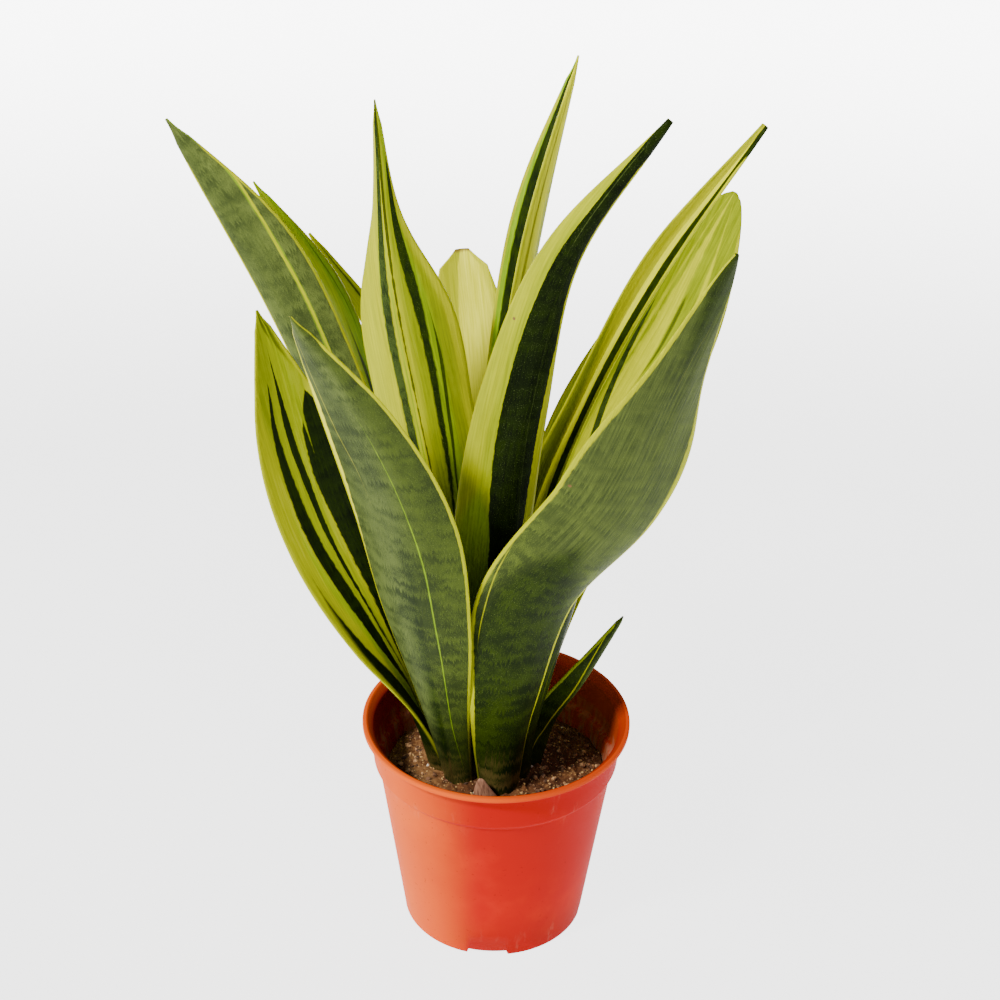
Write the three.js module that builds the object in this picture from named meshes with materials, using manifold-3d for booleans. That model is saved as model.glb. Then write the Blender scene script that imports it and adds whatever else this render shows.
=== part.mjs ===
// A snake plant in a moulded plastic nursery pot.
// Millimetres, +Z up. The origin is under the middle of the plant's spread, at the surface that the
// foot ring stands on. The viewer's side is -Y. The pieces are laid out from the pot's axis, and the
// whole plant is then moved to its place over the origin.

import * as THREE from 'three';
import * as BufferGeometryUtils from 'three/addons/utils/BufferGeometryUtils.js';
import Module from 'manifold-3d';

const wasm = await Module();
wasm.setup();

// ---------------------------------------------------------------- driving dimensions

const GAP = 0.3;                    // clearance between pieces that touch
const POT_X = 18.5;                 // the pot's axis, from the middle of the plant's spread
const POT_Y = -9.5;
const ROUND_SIDES = 56;             // facets round the pot

const POT_HEIGHT = 113;
const POT_WALL = 1.8;
const RIM_RADIUS = 65;              // a 13 cm nursery pot
const RIM_HEIGHT = 2.8;             // turned-out lip
const RIM_ROUND = 0.9;              // rounding of the lip's outer edges
const MOUTH_ROUND = 0.8;            // rounding of the lip's inner edge
const COLLAR_TOP_RADIUS = 61.4;     // just below the lip
const COLLAR_FOOT_RADIUS = 59.6;    // lower end of the collar
const COLLAR_FOOT_Z = 91.5;
const STEP_Z = 89.5;                // where the step meets the tapered body
const BODY_TOP_RADIUS = 57.4;
const FOOT_RADIUS = 44.6;
const FOOT_BEVEL = 0.8;
const FOOT_HEIGHT = 5;              // foot ring, below the floor
const FOOT_RING = 3.2;              // thickness of the foot ring
const FLOOR_THICKNESS = 2;
const FLOOR_TOP = FOOT_HEIGHT + FLOOR_THICKNESS;

const NOTCHES = 4;                  // drainage notches through the foot ring
const NOTCH_WIDTH = 20;
const NOTCH_HEIGHT = 3;
const NOTCH_DEPTH = 20;             // across the ring
const NOTCH_TURN = THREE.MathUtils.degToRad(-3);   // the front notch sits a little left of the axis
const DRAINS = 8;                   // holes through the floor
const DRAIN_RADIUS = 4;
const DRAIN_CIRCLE = 31;
const DRAIN_SIDES = 12;

const SOIL_EDGE_Z = 79;             // soil at the pot's wall
const SOIL_CROWN_Z = 88;            // soil heaped against the stalks
const SOIL_HEAP_RADIUS = 38;
const SOIL_HEAP_X = -3;
const SOIL_HEAP_Y = 1;
const SOIL_RINGS = 8;
const SOIL_SIDES = 44;
const CRUMB_RELIEF = 0.7;           // height of the crumbs on the soil's face
const SOIL_SMOOTHING = 0.1;         // detail below this size is left out of the soil

const LEAF_FOOT_Z = 67;             // the leaves' feet, buried in the soil

const JOINT_RADIUS = 14;            // the rhizome's joints, seen from above they go round a loop
const JOINTS = [[-13, -10, 46], [-9, 16, 46], [6, 10, 46], [8, -8, 46]];
const JOINT_SIDES = 8;
const JOINT_RINGS = 5;
const NECK_RADIUS = 4;              // a neck under each leaf's foot
const NECK_FLARE = 1.3;             // how much wider a neck is where it leaves the joint
const NECK_SIDES = 5;
const ROOTS = 5;
const ROOT_RADIUS = 1.6;
const ROOT_TAPER = 0.6;
const ROOT_LENGTH = 30;
const ROOT_SPLAY = 0.5;             // lean from the vertical, in radians
const ROOT_START = [0, 9, 42];      // where the first root leaves the rhizome
const ROOT_SIDES = 4;

const TIP_HALF = 0.9;               // half-width of the sharpest leaf tip
const MARGIN_THICKNESS = 1.0;
const STATION_STEP = 20;            // length of one step along a leaf
const FEWEST_STATIONS = 8;
const HALF_RIBS = 3;                // steps from a leaf's keel to its margin
const SLOPE_STEP = 0.01;            // part of a leaf's length over which its direction is measured
const BELOW_WIDTH = 200;            // the block of ground that a leaf's foot is cut off with
const BELOW_DEPTH = 100;

// ---------------------------------------------------------------- the leaves
//
// spine   six points along the middle of the blade, evenly spaced from the buried foot to the tip
// half    half-widths, evenly spaced from the foot to the tip
// round   how late the end is rounded off, on a blade that isn't drawn out to a point
// face    compass bearing, in degrees from +X, of the side that the channel opens to, foot to tip
// cup     how far the section curls from the keel to the margin, in degrees, foot to tip
// keel    1 is an even curl, smaller is a sharper fold along the middle
// thick   thickness in the middle of the blade, foot and tip
// wave    height, number and start of the margin's waves

const LEAVES = {
  leaf_front_right: {
    spine: [[2, -21, 62], [4, -29, 135], [14, -38, 202], [49, -46, 260], [70, -54, 319], [94, -61, 389]],
    half: [8.5, 14, 20, 25.5, 28, 27, 14, 4], round: 30,
    face: [95, 125], cup: [66, 36, 26, 20, 16, 14], keel: 1, thick: [4.2, 1.9], wave: [1.2, 3, 0.1],
  },
  leaf_front_left: {
    spine: [[-16, -12, 62], [-26, -23, 128], [-36, -34, 188], [-45, -44, 247], [-63, -55, 304],
      [-87, -66, 360]],
    half: [6, 14, 25, 28, 21, 1.2],
    face: [62, 58], cup: [66, 36, 28, 26, 24, 22], keel: 1, thick: [4.2, 1.9], wave: [0.6, 2, 0.3],
  },
  leaf_left_low: {
    spine: [[-25, -1, 62], [-40, -2, 119], [-61, -5, 171], [-82, -8, 224], [-96, -10, 279], [-107, -12, 336]],
    half: [7.5, 12, 20.5, 21.5, 18.5, 1.2],
    face: [40, -5, -40, -55, -55, -50], cup: [66, 40, 34, 30, 28, 26], keel: 0.8,
    thick: [4.2, 1.8], wave: [0.6, 2, 0.6],
  },
  leaf_left_long: {
    spine: [[-21, 8, 62], [-32, 14, 135], [-50, 21, 204], [-76, 26, 274], [-105, 29, 343], [-148, 32, 406]],
    half: [7.5, 12, 14, 13.5, 15, 13, 1],
    face: [40, 65, 80, 90], cup: [66, 40, 32, 28, 24, 20], keel: 0.8, thick: [4.2, 1.8], wave: [0.5, 2, 0],
  },
  leaf_left_behind: {
    spine: [[-17, 19, 62], [-30, 28, 125], [-43, 36, 188], [-61, 43, 250], [-82, 50, 313], [-114, 56, 367]],
    half: [7, 9.5, 12, 14, 13, 1],
    face: [10, -20], cup: [66, 40, 40, 36, 32, 30], keel: 0.7, thick: [4.0, 1.8], wave: [0.4, 2, 0.5],
  },
  leaf_left_back: {
    spine: [[-7, 31, 62], [-11, 42, 116], [-18, 55, 169], [-35, 64, 224], [-56, 74, 278], [-92, 85, 329]],
    half: [7, 10, 13, 12, 6.5, 1],
    face: [-60, -60], cup: [60, 40, 34, 30, 26, 24], keel: 0.8, thick: [4.0, 1.8], wave: [0.4, 2, 0.2],
  },
  leaf_tall_left: {
    spine: [[-9, -1, 62], [-15, -2, 142], [-24, -2, 215], [-37, 1, 285], [-50, 5, 355], [-56, 10, 425]],
    half: [8, 13, 19, 23.5, 24.5, 24.5, 7.5, 0.9],
    face: [90, 80], cup: [66, 40, 38, 40, 50, 60], keel: 0.5, thick: [4.2, 1.8], wave: [0.4, 2, 0.4],
  },
  leaf_back_short: {
    spine: [[-2, 22, 62], [-7, 30, 117], [-10, 42, 169], [-11, 56, 221], [-14, 70, 272], [-20, 84, 323]],
    half: [7, 11, 15, 19, 22, 9.5],
    face: [-90, -90], cup: [60, 40, 30, 28, 26, 24], keel: 0.6, thick: [4.0, 1.8], wave: [0.4, 2, 0.7],
  },
  leaf_tall_middle: {
    spine: [[2, 12, 62], [-1, 20, 131], [0, 27, 206], [5, 27, 285], [16, 24, 364], [30, 21, 442]],
    half: [8, 13, 19, 17.5, 17, 0.9],
    face: [185, 190], cup: [66, 52, 52, 52, 56, 60], keel: 0.5, thick: [4.2, 1.8], wave: [0.4, 2, 0.1],
  },
  leaf_curved: {
    spine: [[-3, -11, 62], [-6, -15, 144], [-4, -20, 221], [4, -25, 297], [23, -30, 371], [66, -36, 436]],
    half: [8, 16, 19, 17, 9.5, 1.2],
    face: [100, 70], cup: [66, 46, 42, 42, 46, 50], keel: 0.8, thick: [4.2, 1.9], wave: [0.4, 2, 0.8],
  },
  leaf_right_upper: {
    spine: [[7, 6, 62], [9, 12, 139], [14, 17, 211], [38, 21, 281], [70, 25, 348], [112, 29, 409]],
    half: [8, 11, 14, 9, 9, 1.8],
    face: [-100, -110], cup: [66, 70, 70, 68, 62, 60], keel: 0.35, thick: [4.2, 1.9], wave: [0.4, 2, 0.2],
  },
  leaf_right_back: {
    spine: [[12, 17, 62], [16, 25, 129], [28, 37, 187], [51, 50, 244], [80, 63, 299], [106, 77, 357]],
    half: [8, 15, 23, 28, 24, 12], round: 14,
    face: [-110, -110], cup: [60, 36, 26, 22, 20, 18], keel: 0.8, thick: [4.0, 1.8], wave: [0.6, 2, 0.5],
  },
  leaf_right_dark: {
    spine: [[13, -9, 62], [13, -13, 106], [19, -15, 143], [28, -18, 181], [37, -20, 218], [47, -22, 255]],
    half: [7, 10, 12, 11, 7, 1],
    face: [120, 120], cup: [60, 50, 40, 40, 40, 40], keel: 0.8, thick: [3.6, 1.6], wave: [0.3, 2, 0.5],
  },
  dry_sheath: {
    spine: [[-4, -26, 62], [-4, -27, 69], [-5, -28, 76], [-5, -29, 83], [-6, -30, 90], [-7, -30, 98]],
    half: [5, 6, 7, 6.8, 4.5, 0.9],
    face: [85, 75], cup: [50, 50, 45, 40, 35, 30], keel: 1, thick: [1.3, 1.0], wave: [0.3, 1, 0.2],
  },
  leaf_pup: {
    spine: [[17, 1, 62], [22, 0, 91], [28, -1, 113], [40, -2, 134], [50, -3, 155], [59, -4, 175]],
    half: [6, 9, 12, 11, 6, 0.9],
    face: [150, 150], cup: [60, 60, 60, 60, 60, 60], keel: 0.4, thick: [3.4, 1.6], wave: [0.2, 2, 0.3],
  },
};

// ---------------------------------------------------------------- solids and booleans

function solidOf(geometry) {
  geometry.deleteAttribute('normal');
  geometry.deleteAttribute('uv');
  const merged = BufferGeometryUtils.mergeVertices(geometry, 1e-4);
  return new wasm.Manifold(new wasm.Mesh({
    numProp: 3,
    vertProperties: Float32Array.from(merged.attributes.position.array),
    triVerts: Uint32Array.from(merged.index.array),
  }));
}

function geometryOf(solid) {
  const mesh = solid.getMesh();
  const geometry = new THREE.BufferGeometry();
  geometry.setAttribute('position', new THREE.BufferAttribute(mesh.vertProperties, 3));
  geometry.setIndex(new THREE.BufferAttribute(mesh.triVerts, 1));
  return geometry;
}

function largestBody(solid) {
  return solid.decompose().reduce((best, piece) => (piece.volume() > best.volume() ? piece : best));
}

function material(colour, roughness) {
  return new THREE.MeshStandardMaterial({ color: colour, roughness, metalness: 0 });
}

// ---------------------------------------------------------------- a leaf

function along(values, t) {
  const place = t * (values.length - 1);
  const i = Math.min(Math.floor(place), values.length - 2);
  return THREE.MathUtils.lerp(values[i], values[i + 1], place - i);
}

function curveThrough(points) {
  return new THREE.CatmullRomCurve3(points.map((p) => new THREE.Vector3(...p)), false, 'catmullrom');
}

// the same values on one smooth curve
function smoothAlong(values, t) {
  return curveThrough(values.map((v) => [v, 0, 0])).getPoint(t).x;
}

function halfWidth(leaf, t) {
  const half = Math.max(smoothAlong(leaf.half, t), TIP_HALF);
  return leaf.round ? Math.max(half * Math.sqrt(1 - t ** leaf.round), TIP_HALF) : half;
}

// The curled section, from the keel out to one margin: how far sideways, how far towards the
// channel, and the turn of the blade there.
function halfSection(half, cup, keel) {
  const steps = [{ side: 0, deep: 0, turn: 0 }];
  for (let i = 1; i <= HALF_RIBS; i += 1) {
    const middle = cup * ((i - 0.5) / HALF_RIBS) ** keel;
    const last = steps[i - 1];
    steps.push({
      side: last.side + half / HALF_RIBS * Math.cos(middle),
      deep: last.deep + half / HALF_RIBS * Math.sin(middle),
      turn: cup * (i / HALF_RIBS) ** keel,
    });
  }
  return steps;
}

function leafGeometry(leaf, grown = 0) {
  const spine = curveThrough(leaf.spine);
  const stations = Math.max(Math.round(spine.getLength() / STATION_STEP), FEWEST_STATIONS);
  const ribs = 2 * HALF_RIBS + 1;
  const positions = [];
  for (let s = 0; s <= stations; s += 1) {
    const t = s / stations;
    const centre = spine.getPoint(t);
    const ahead = spine.getPoint(Math.min(t + SLOPE_STEP, 1))
      .sub(spine.getPoint(Math.max(t - SLOPE_STEP, 0))).normalize();
    if (s === 0) centre.addScaledVector(ahead, -grown);
    if (s === stations) centre.addScaledVector(ahead, grown);
    const bearing = THREE.MathUtils.degToRad(smoothAlong(leaf.face, t));
    const open = new THREE.Vector3(Math.cos(bearing), Math.sin(bearing), 0);
    open.addScaledVector(ahead, -open.dot(ahead)).normalize();
    const side = new THREE.Vector3().crossVectors(ahead, open);
    const half = halfWidth(leaf, t) + grown;
    const section = halfSection(half, THREE.MathUtils.degToRad(smoothAlong(leaf.cup, t)), leaf.keel);
    const middleThick = Math.max(along(leaf.thick, t), MARGIN_THICKNESS);
    const inner = [];
    const outer = [];
    for (let r = -HALF_RIBS; r <= HALF_RIBS; r += 1) {
      const step = section[Math.abs(r)];
      const hand = Math.sign(r);
      const u = Math.abs(r) / HALF_RIBS;
      const thickness = MARGIN_THICKNESS + (middleThick - MARGIN_THICKNESS) * (1 - u * u) + 2 * grown;
      const wave = leaf.wave[0] * u ** 3 * Math.sin(Math.PI * t)
        * Math.sin(2 * Math.PI * (leaf.wave[1] * t + leaf.wave[2] + 0.25 * hand));
      const normal = open.clone().multiplyScalar(Math.cos(step.turn))
        .addScaledVector(side, -hand * Math.sin(step.turn));
      const point = centre.clone().addScaledVector(side, hand * step.side)
        .addScaledVector(open, step.deep).addScaledVector(normal, wave);
      inner.push(point.clone().addScaledVector(normal, thickness / 2));
      outer.push(point.clone().addScaledVector(normal, -thickness / 2));
    }
    [...inner, ...outer].forEach((p) => positions.push(p.x, p.y, p.z));
  }

  const index = [];
  const quad = (a, b, c, d) => index.push(a, b, c, a, c, d);
  const row = 2 * ribs;
  for (let s = 0; s < stations; s += 1) {
    const here = s * row;
    const next = here + row;
    for (let r = 0; r < ribs - 1; r += 1) {
      // both faces are split along the same diagonal
      quad(here + r, here + r + 1, next + r + 1, next + r);
      const o = ribs + r;
      index.push(here + o, next + o + 1, here + o + 1, here + o, next + o, next + o + 1);
    }
    quad(here + ribs, here, next, next + ribs);
    quad(here + ribs - 1, here + row - 1, next + row - 1, next + ribs - 1);
  }
  const end = stations * row;
  for (let r = 0; r < ribs - 1; r += 1) {
    quad(r + ribs, r + ribs + 1, r + 1, r);
    quad(end + r, end + r + 1, end + r + ribs + 1, end + r + ribs);
  }
  const geometry = new THREE.BufferGeometry();
  geometry.setAttribute('position', new THREE.Float32BufferAttribute(positions, 3));
  geometry.setIndex(index);
  return geometry;
}

// The blade is cut off level at its foot, where it sits on the rhizome.
function leafSolid(leaf, grown = 0) {
  const below = new THREE.BoxGeometry(BELOW_WIDTH, BELOW_WIDTH, BELOW_DEPTH);
  below.translate(0, 0, LEAF_FOOT_Z - grown - BELOW_DEPTH / 2);
  return solidOf(leafGeometry(leaf, grown)).subtract(solidOf(below));
}

const LEAF_COLOURS = {
  leaf_front_right: 0x55683f, leaf_front_left: 0x4f6a42, leaf_left_low: 0x6f7a24,
  leaf_left_long: 0x3f5a2e, leaf_left_behind: 0x6f9a35, leaf_left_back: 0x8f9a30,
  leaf_tall_left: 0xc9c53a, leaf_back_short: 0xdcd676, leaf_tall_middle: 0x8fae3a,
  leaf_curved: 0xa8a92c, leaf_right_upper: 0xcfc94a, leaf_right_back: 0xb5b040,
  leaf_right_dark: 0x3c4d22, leaf_pup: 0x4a5526, dry_sheath: 0x9a6a48,
};

// ---------------------------------------------------------------- the pot

function lathed(profile, sides) {
  const geometry = new THREE.LatheGeometry(profile.map(([r, z]) => new THREE.Vector2(r, z)), sides);
  geometry.rotateX(Math.PI / 2);
  return geometry;
}

// inner radius of the pot at a height
function innerRadius(z) {
  const outer = z < STEP_Z
    ? THREE.MathUtils.mapLinear(z, 0, STEP_Z, FOOT_RADIUS, BODY_TOP_RADIUS)
    : THREE.MathUtils.mapLinear(z, COLLAR_FOOT_Z, POT_HEIGHT, COLLAR_FOOT_RADIUS, COLLAR_TOP_RADIUS);
  return outer - POT_WALL;
}

function potGeometry() {
  const lipFoot = POT_HEIGHT - RIM_HEIGHT;
  const profile = [
    [0, FOOT_HEIGHT],
    [FOOT_RADIUS - FOOT_RING, FOOT_HEIGHT],
    [FOOT_RADIUS - FOOT_RING, 0],
    [FOOT_RADIUS - FOOT_BEVEL, 0],
    [FOOT_RADIUS, FOOT_BEVEL],
    [BODY_TOP_RADIUS, STEP_Z],
    [COLLAR_FOOT_RADIUS, COLLAR_FOOT_Z],
    [COLLAR_TOP_RADIUS, lipFoot],
    [RIM_RADIUS - RIM_ROUND, lipFoot],
    [RIM_RADIUS, lipFoot + RIM_ROUND],
    [RIM_RADIUS, POT_HEIGHT - RIM_ROUND],
    [RIM_RADIUS - RIM_ROUND, POT_HEIGHT],
    [COLLAR_TOP_RADIUS - POT_WALL + MOUTH_ROUND, POT_HEIGHT],
    [COLLAR_TOP_RADIUS - POT_WALL, POT_HEIGHT - MOUTH_ROUND],
    [COLLAR_FOOT_RADIUS - POT_WALL, COLLAR_FOOT_Z],
    [BODY_TOP_RADIUS - POT_WALL, STEP_Z],
    [innerRadius(FLOOR_TOP), FLOOR_TOP],
    [0, FLOOR_TOP],
  ];
  let pot = solidOf(lathed(profile, ROUND_SIDES));
  for (let i = 0; i < NOTCHES; i += 1) {
    const notch = new THREE.BoxGeometry(NOTCH_WIDTH, NOTCH_DEPTH, 2 * NOTCH_HEIGHT);
    notch.translate(0, -FOOT_RADIUS, 0);
    notch.rotateZ(NOTCH_TURN + i * 2 * Math.PI / NOTCHES);
    pot = pot.subtract(solidOf(notch));
  }
  for (let i = 0; i < DRAINS; i += 1) {
    const drain = new THREE.CylinderGeometry(DRAIN_RADIUS, DRAIN_RADIUS, 2 * FLOOR_TOP, DRAIN_SIDES);
    drain.rotateX(Math.PI / 2);
    drain.translate(DRAIN_CIRCLE, 0, FLOOR_TOP);
    drain.rotateZ((i + 0.5) * 2 * Math.PI / DRAINS);
    pot = pot.subtract(solidOf(drain));
  }
  return geometryOf(pot);
}

// ---------------------------------------------------------------- the rhizome

// The thick creeping stem below the soil: a loop of joints, a short neck under each leaf's foot,
// and roots running down and out.
function rhizomeSolid(grown = 0) {
  let rhizome = null;
  const join = (geometry) => {
    const solid = solidOf(geometry);
    rhizome = rhizome ? rhizome.add(solid) : solid;
  };
  for (const joint of JOINTS) {
    const geometry = new THREE.SphereGeometry(JOINT_RADIUS + grown, JOINT_SIDES, JOINT_RINGS);
    geometry.rotateX(Math.PI / 2);
    geometry.translate(...joint);
    join(geometry);
  }
  for (const leaf of Object.values(LEAVES)) {
    const [x, y] = leaf.spine[0];
    const top = LEAF_FOOT_Z - GAP + grown;
    const height = top - JOINTS[0][2];
    const wide = NECK_RADIUS * NECK_FLARE + grown;
    const neck = new THREE.CylinderGeometry(NECK_RADIUS + grown, wide, height, NECK_SIDES);
    neck.rotateX(Math.PI / 2);
    neck.translate(x, y, top - height / 2);
    join(neck);
  }
  for (let i = 0; i < ROOTS; i += 1) {
    const thin = ROOT_TAPER * ROOT_RADIUS + grown;
    const root = new THREE.CylinderGeometry(ROOT_RADIUS + grown, thin, ROOT_LENGTH + grown, ROOT_SIDES);
    root.rotateX(Math.PI / 2);
    root.translate(0, 0, -ROOT_LENGTH / 2);
    root.rotateX(ROOT_SPLAY);
    root.translate(...ROOT_START);
    root.rotateZ(i * 2 * Math.PI / ROOTS);
    join(root);
  }
  return rhizome;
}

// ---------------------------------------------------------------- the soil

function soilHeight(x, y) {
  const away = Math.hypot(x - SOIL_HEAP_X, y - SOIL_HEAP_Y) / SOIL_HEAP_RADIUS;
  const heap = Math.exp(-away * away);
  // two crossed sets of ripples make an uneven pattern
  const crumbs = Math.sin(0.9 * x + 0.5 * y) * Math.sin(0.7 * y - 0.3 * x)
    + 0.6 * Math.sin(1.7 * x - 1.1 * y + 2) * Math.sin(1.3 * x + 1.9 * y);
  return SOIL_EDGE_Z + (SOIL_CROWN_Z - SOIL_EDGE_Z) * heap + CRUMB_RELIEF * crumbs;
}

function soilSolid() {
  const bottom = FLOOR_TOP + GAP;
  const profile = [[0, bottom], [innerRadius(bottom) - GAP, bottom]];
  const topRadius = innerRadius(SOIL_EDGE_Z) - GAP;
  for (let i = SOIL_RINGS; i >= 0; i -= 1) profile.push([topRadius * i / SOIL_RINGS, SOIL_EDGE_Z]);
  const geometry = lathed(profile, SOIL_SIDES);
  const position = geometry.attributes.position;
  const middle = (bottom + SOIL_EDGE_Z) / 2;       // only the upper face has crumbs
  for (let i = 0; i < position.count; i += 1) {
    if (position.getZ(i) > middle) {
      position.setZ(i, soilHeight(position.getX(i), position.getY(i)));
    }
  }
  return solidOf(geometry);
}

// ---------------------------------------------------------------- the assembly

const plant = new THREE.Group();

function place(name, geometry, look) {
  const mesh = new THREE.Mesh(geometry, look);
  mesh.name = name;
  plant.add(mesh);
}

place('pot', potGeometry(), material(0xe2502c, 0.45));

let soil = soilSolid().subtract(rhizomeSolid(GAP));
for (const leaf of Object.values(LEAVES)) soil = soil.subtract(leafSolid(leaf, GAP));
place('soil', geometryOf(largestBody(soil).asOriginal().simplify(SOIL_SMOOTHING)), material(0x4a3020, 0.95));
place('rhizome', geometryOf(rhizomeSolid()), material(0xb08a52, 0.7));
for (const [name, leaf] of Object.entries(LEAVES)) {
  place(name, geometryOf(leafSolid(leaf)), material(LEAF_COLOURS[name], 0.4));
}

plant.position.set(POT_X, POT_Y, 0);

export default plant;
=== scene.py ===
import itertools
import math
import random

import bpy
from mathutils import Matrix, Vector, noise


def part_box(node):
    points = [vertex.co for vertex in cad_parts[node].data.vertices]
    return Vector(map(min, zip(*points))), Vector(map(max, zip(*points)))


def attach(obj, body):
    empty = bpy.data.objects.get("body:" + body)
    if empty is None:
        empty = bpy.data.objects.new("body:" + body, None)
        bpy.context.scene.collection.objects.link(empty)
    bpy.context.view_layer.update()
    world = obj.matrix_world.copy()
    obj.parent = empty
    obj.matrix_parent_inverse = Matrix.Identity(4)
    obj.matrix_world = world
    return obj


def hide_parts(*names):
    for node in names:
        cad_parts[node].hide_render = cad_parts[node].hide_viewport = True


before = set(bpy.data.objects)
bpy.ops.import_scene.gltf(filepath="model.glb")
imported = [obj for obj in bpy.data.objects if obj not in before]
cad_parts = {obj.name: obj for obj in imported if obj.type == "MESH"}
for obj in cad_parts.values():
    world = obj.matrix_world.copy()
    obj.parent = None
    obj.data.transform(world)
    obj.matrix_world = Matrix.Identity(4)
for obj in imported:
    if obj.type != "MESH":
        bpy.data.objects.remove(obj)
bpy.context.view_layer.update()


# ------------------------------------------------------------------------------- the pot
#
# A thin nursery pot of orange polypropylene, injection moulded in one piece: a turned-out lip, a
# collar that lets pots stack, a tapered wall, and a floor with drain holes on a notched foot ring.
# It is satin, scuffed by handling, dusty inside, and paler where it has been rubbed.

POT_PROFILE = [  # radius, height and corner rounding in mm, from under the floor round to above it
    (0, 5, 0), (41.4, 5, 0.6), (41.4, 3, 0), (41.4, 0, 0.5), (44.6, 0, 0.8), (44.93, 3, 0),
    (46.5, 14, 0), (49.5, 35, 0), (53.1, 60, 0), (57.4, 89.5, 0.9), (59.6, 91.5, 0.9),
    (60.5, 101, 0), (61.4, 110.2, 0.5), (65, 110.2, 0.8), (65, 113, 0.9), (62.6, 113, 0.7),
    (59.5, 109.5, 0.8), (58.7, 101, 0), (57.8, 91.5, 0.9), (55.6, 89.5, 0.9), (51.3, 60, 0),
    (47.7, 35, 0), (43.8, 7, 1.5), (30, 7, 0), (0, 7, 0),
]
POT_SIDES = 288
CORNER_STEPS = 4
EASING_LIMIT = 0.45             # the most of a profile's side that one eased corner takes
NOTCH_TOP = 3.0                 # mm, over the surface that the pot stands on
NOTCH_HALF_WIDTH = 10.0
NOTCH_COUNT = 4
NOTCH_TURN = math.radians(-3)
DRAIN_COUNT = 8
DRAIN_CIRCLE = 31.0
DRAIN_RADIUS = 4.0
DRAIN_SIDES = 32
DRAIN_PUNCH = (3, 9)            # mm, from under the pot's floor to above it
POT_ORANGE = (0.35, 0.002, 0.0003)
POT_RUBBED = (0.48, 0.014, 0.0005)
POT_DEEP = (0.16, 0.004, 0.001)
# A pale orange, painted as the highlight on the side towards the lamp and on the lip's top.
POT_HIGHLIGHT = (0.68, 0.100, 0.003)
POT_DUST = (0.50, 0.33, 0.22)
POT_SILT = (0.30, 0.18, 0.11)
POT_LIT_SIDE = (-0.90, -0.43, 0)  # the side towards the lamp, where a highlight is painted
FOOT_GRIME = (2, 34)            # mm, from where it is darkest up to where it ends
HANDLED_FOOT = (4, 22)
HANDLED_COLLAR = (80, 92)
LIP_TOP = (109, 112)
FLOOR_TOP = (6, 7)
SOIL_LINE = 79.0                # mm, where the soil meets the wall
SILT_REACH = 14.0               # mm, how far up the wall the soil has smeared it
SILT_TIDE = (88.0, 96.0)        # mm, the pale band that watering left inside
TIDE_SOFT = (2, 3)              # mm, how softly it ends below and above

pot_low, pot_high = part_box("pot")
POT_AXIS = Vector(((pot_low[0] + pot_high[0]) / 2, (pot_low[1] + pot_high[1]) / 2, 0))


def placed(x, y, z):
    """A point given in mm from the foot of the pot's axis."""
    return POT_AXIS + Vector((x, y, z)) / 1000


def piece_from(name, points, faces, material, smooth=True):
    """A mesh piece in one material."""
    mesh = bpy.data.meshes.new(name)
    mesh.from_pydata(points, [], faces)
    mesh.validate()
    mesh.polygons.foreach_set("use_smooth", [smooth] * len(mesh.polygons))
    mesh.materials.append(material)
    piece = bpy.data.objects.new(name, mesh)
    bpy.context.scene.collection.objects.link(piece)
    return piece


def rounded(profile):
    """The profile with its corners eased."""
    points = []
    for i, (r, z, easing) in enumerate(profile):
        corner = Vector((r, z))
        if easing == 0:
            points.append(corner)
            continue
        before = Vector(profile[i - 1][:2]) - corner
        after = Vector(profile[i + 1][:2]) - corner
        start = corner + before.normalized() * min(easing, before.length * EASING_LIMIT)
        end = corner + after.normalized() * min(easing, after.length * EASING_LIMIT)
        for k in range(CORNER_STEPS + 1):
            s = k / CORNER_STEPS
            points.append(start * (1 - s) ** 2 + corner * 2 * s * (1 - s) + end * s ** 2)
    return points


def turned(profile, sides, shape):
    """Points and faces of a turned form. shape(radius, height, bearing) gives each point."""
    points = [shape(profile[0][0], profile[0][1], 0)]
    faces = []
    rings = profile[1:-1]
    for radius, height in rings:
        for k in range(sides):
            points.append(shape(radius, height, 2 * math.pi * k / sides))
    points.append(shape(profile[-1][0], profile[-1][1], 0))
    last = len(points) - 1
    for k in range(sides):
        k2 = (k + 1) % sides
        faces.append((0, 1 + k2, 1 + k))
        for i in range(len(rings) - 1):
            a = 1 + i * sides
            b = a + sides
            faces.append((a + k, a + k2, b + k2, b + k))
        top = 1 + (len(rings) - 1) * sides
        faces.append((top + k, top + k2, last))
    return points, faces


def pot_point(radius, height, bearing):
    """A point of the pot's surface. Its foot ring is cut away at the notches."""
    if height < NOTCH_TOP:
        for i in range(NOTCH_COUNT):
            middle = NOTCH_TURN - math.pi / 2 + i * 2 * math.pi / NOTCH_COUNT
            across = math.sin(bearing - middle) * radius
            if abs(across) < NOTCH_HALF_WIDTH and math.cos(bearing - middle) > 0:
                height = NOTCH_TOP
    return placed(radius * math.cos(bearing), radius * math.sin(bearing), height)


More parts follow.
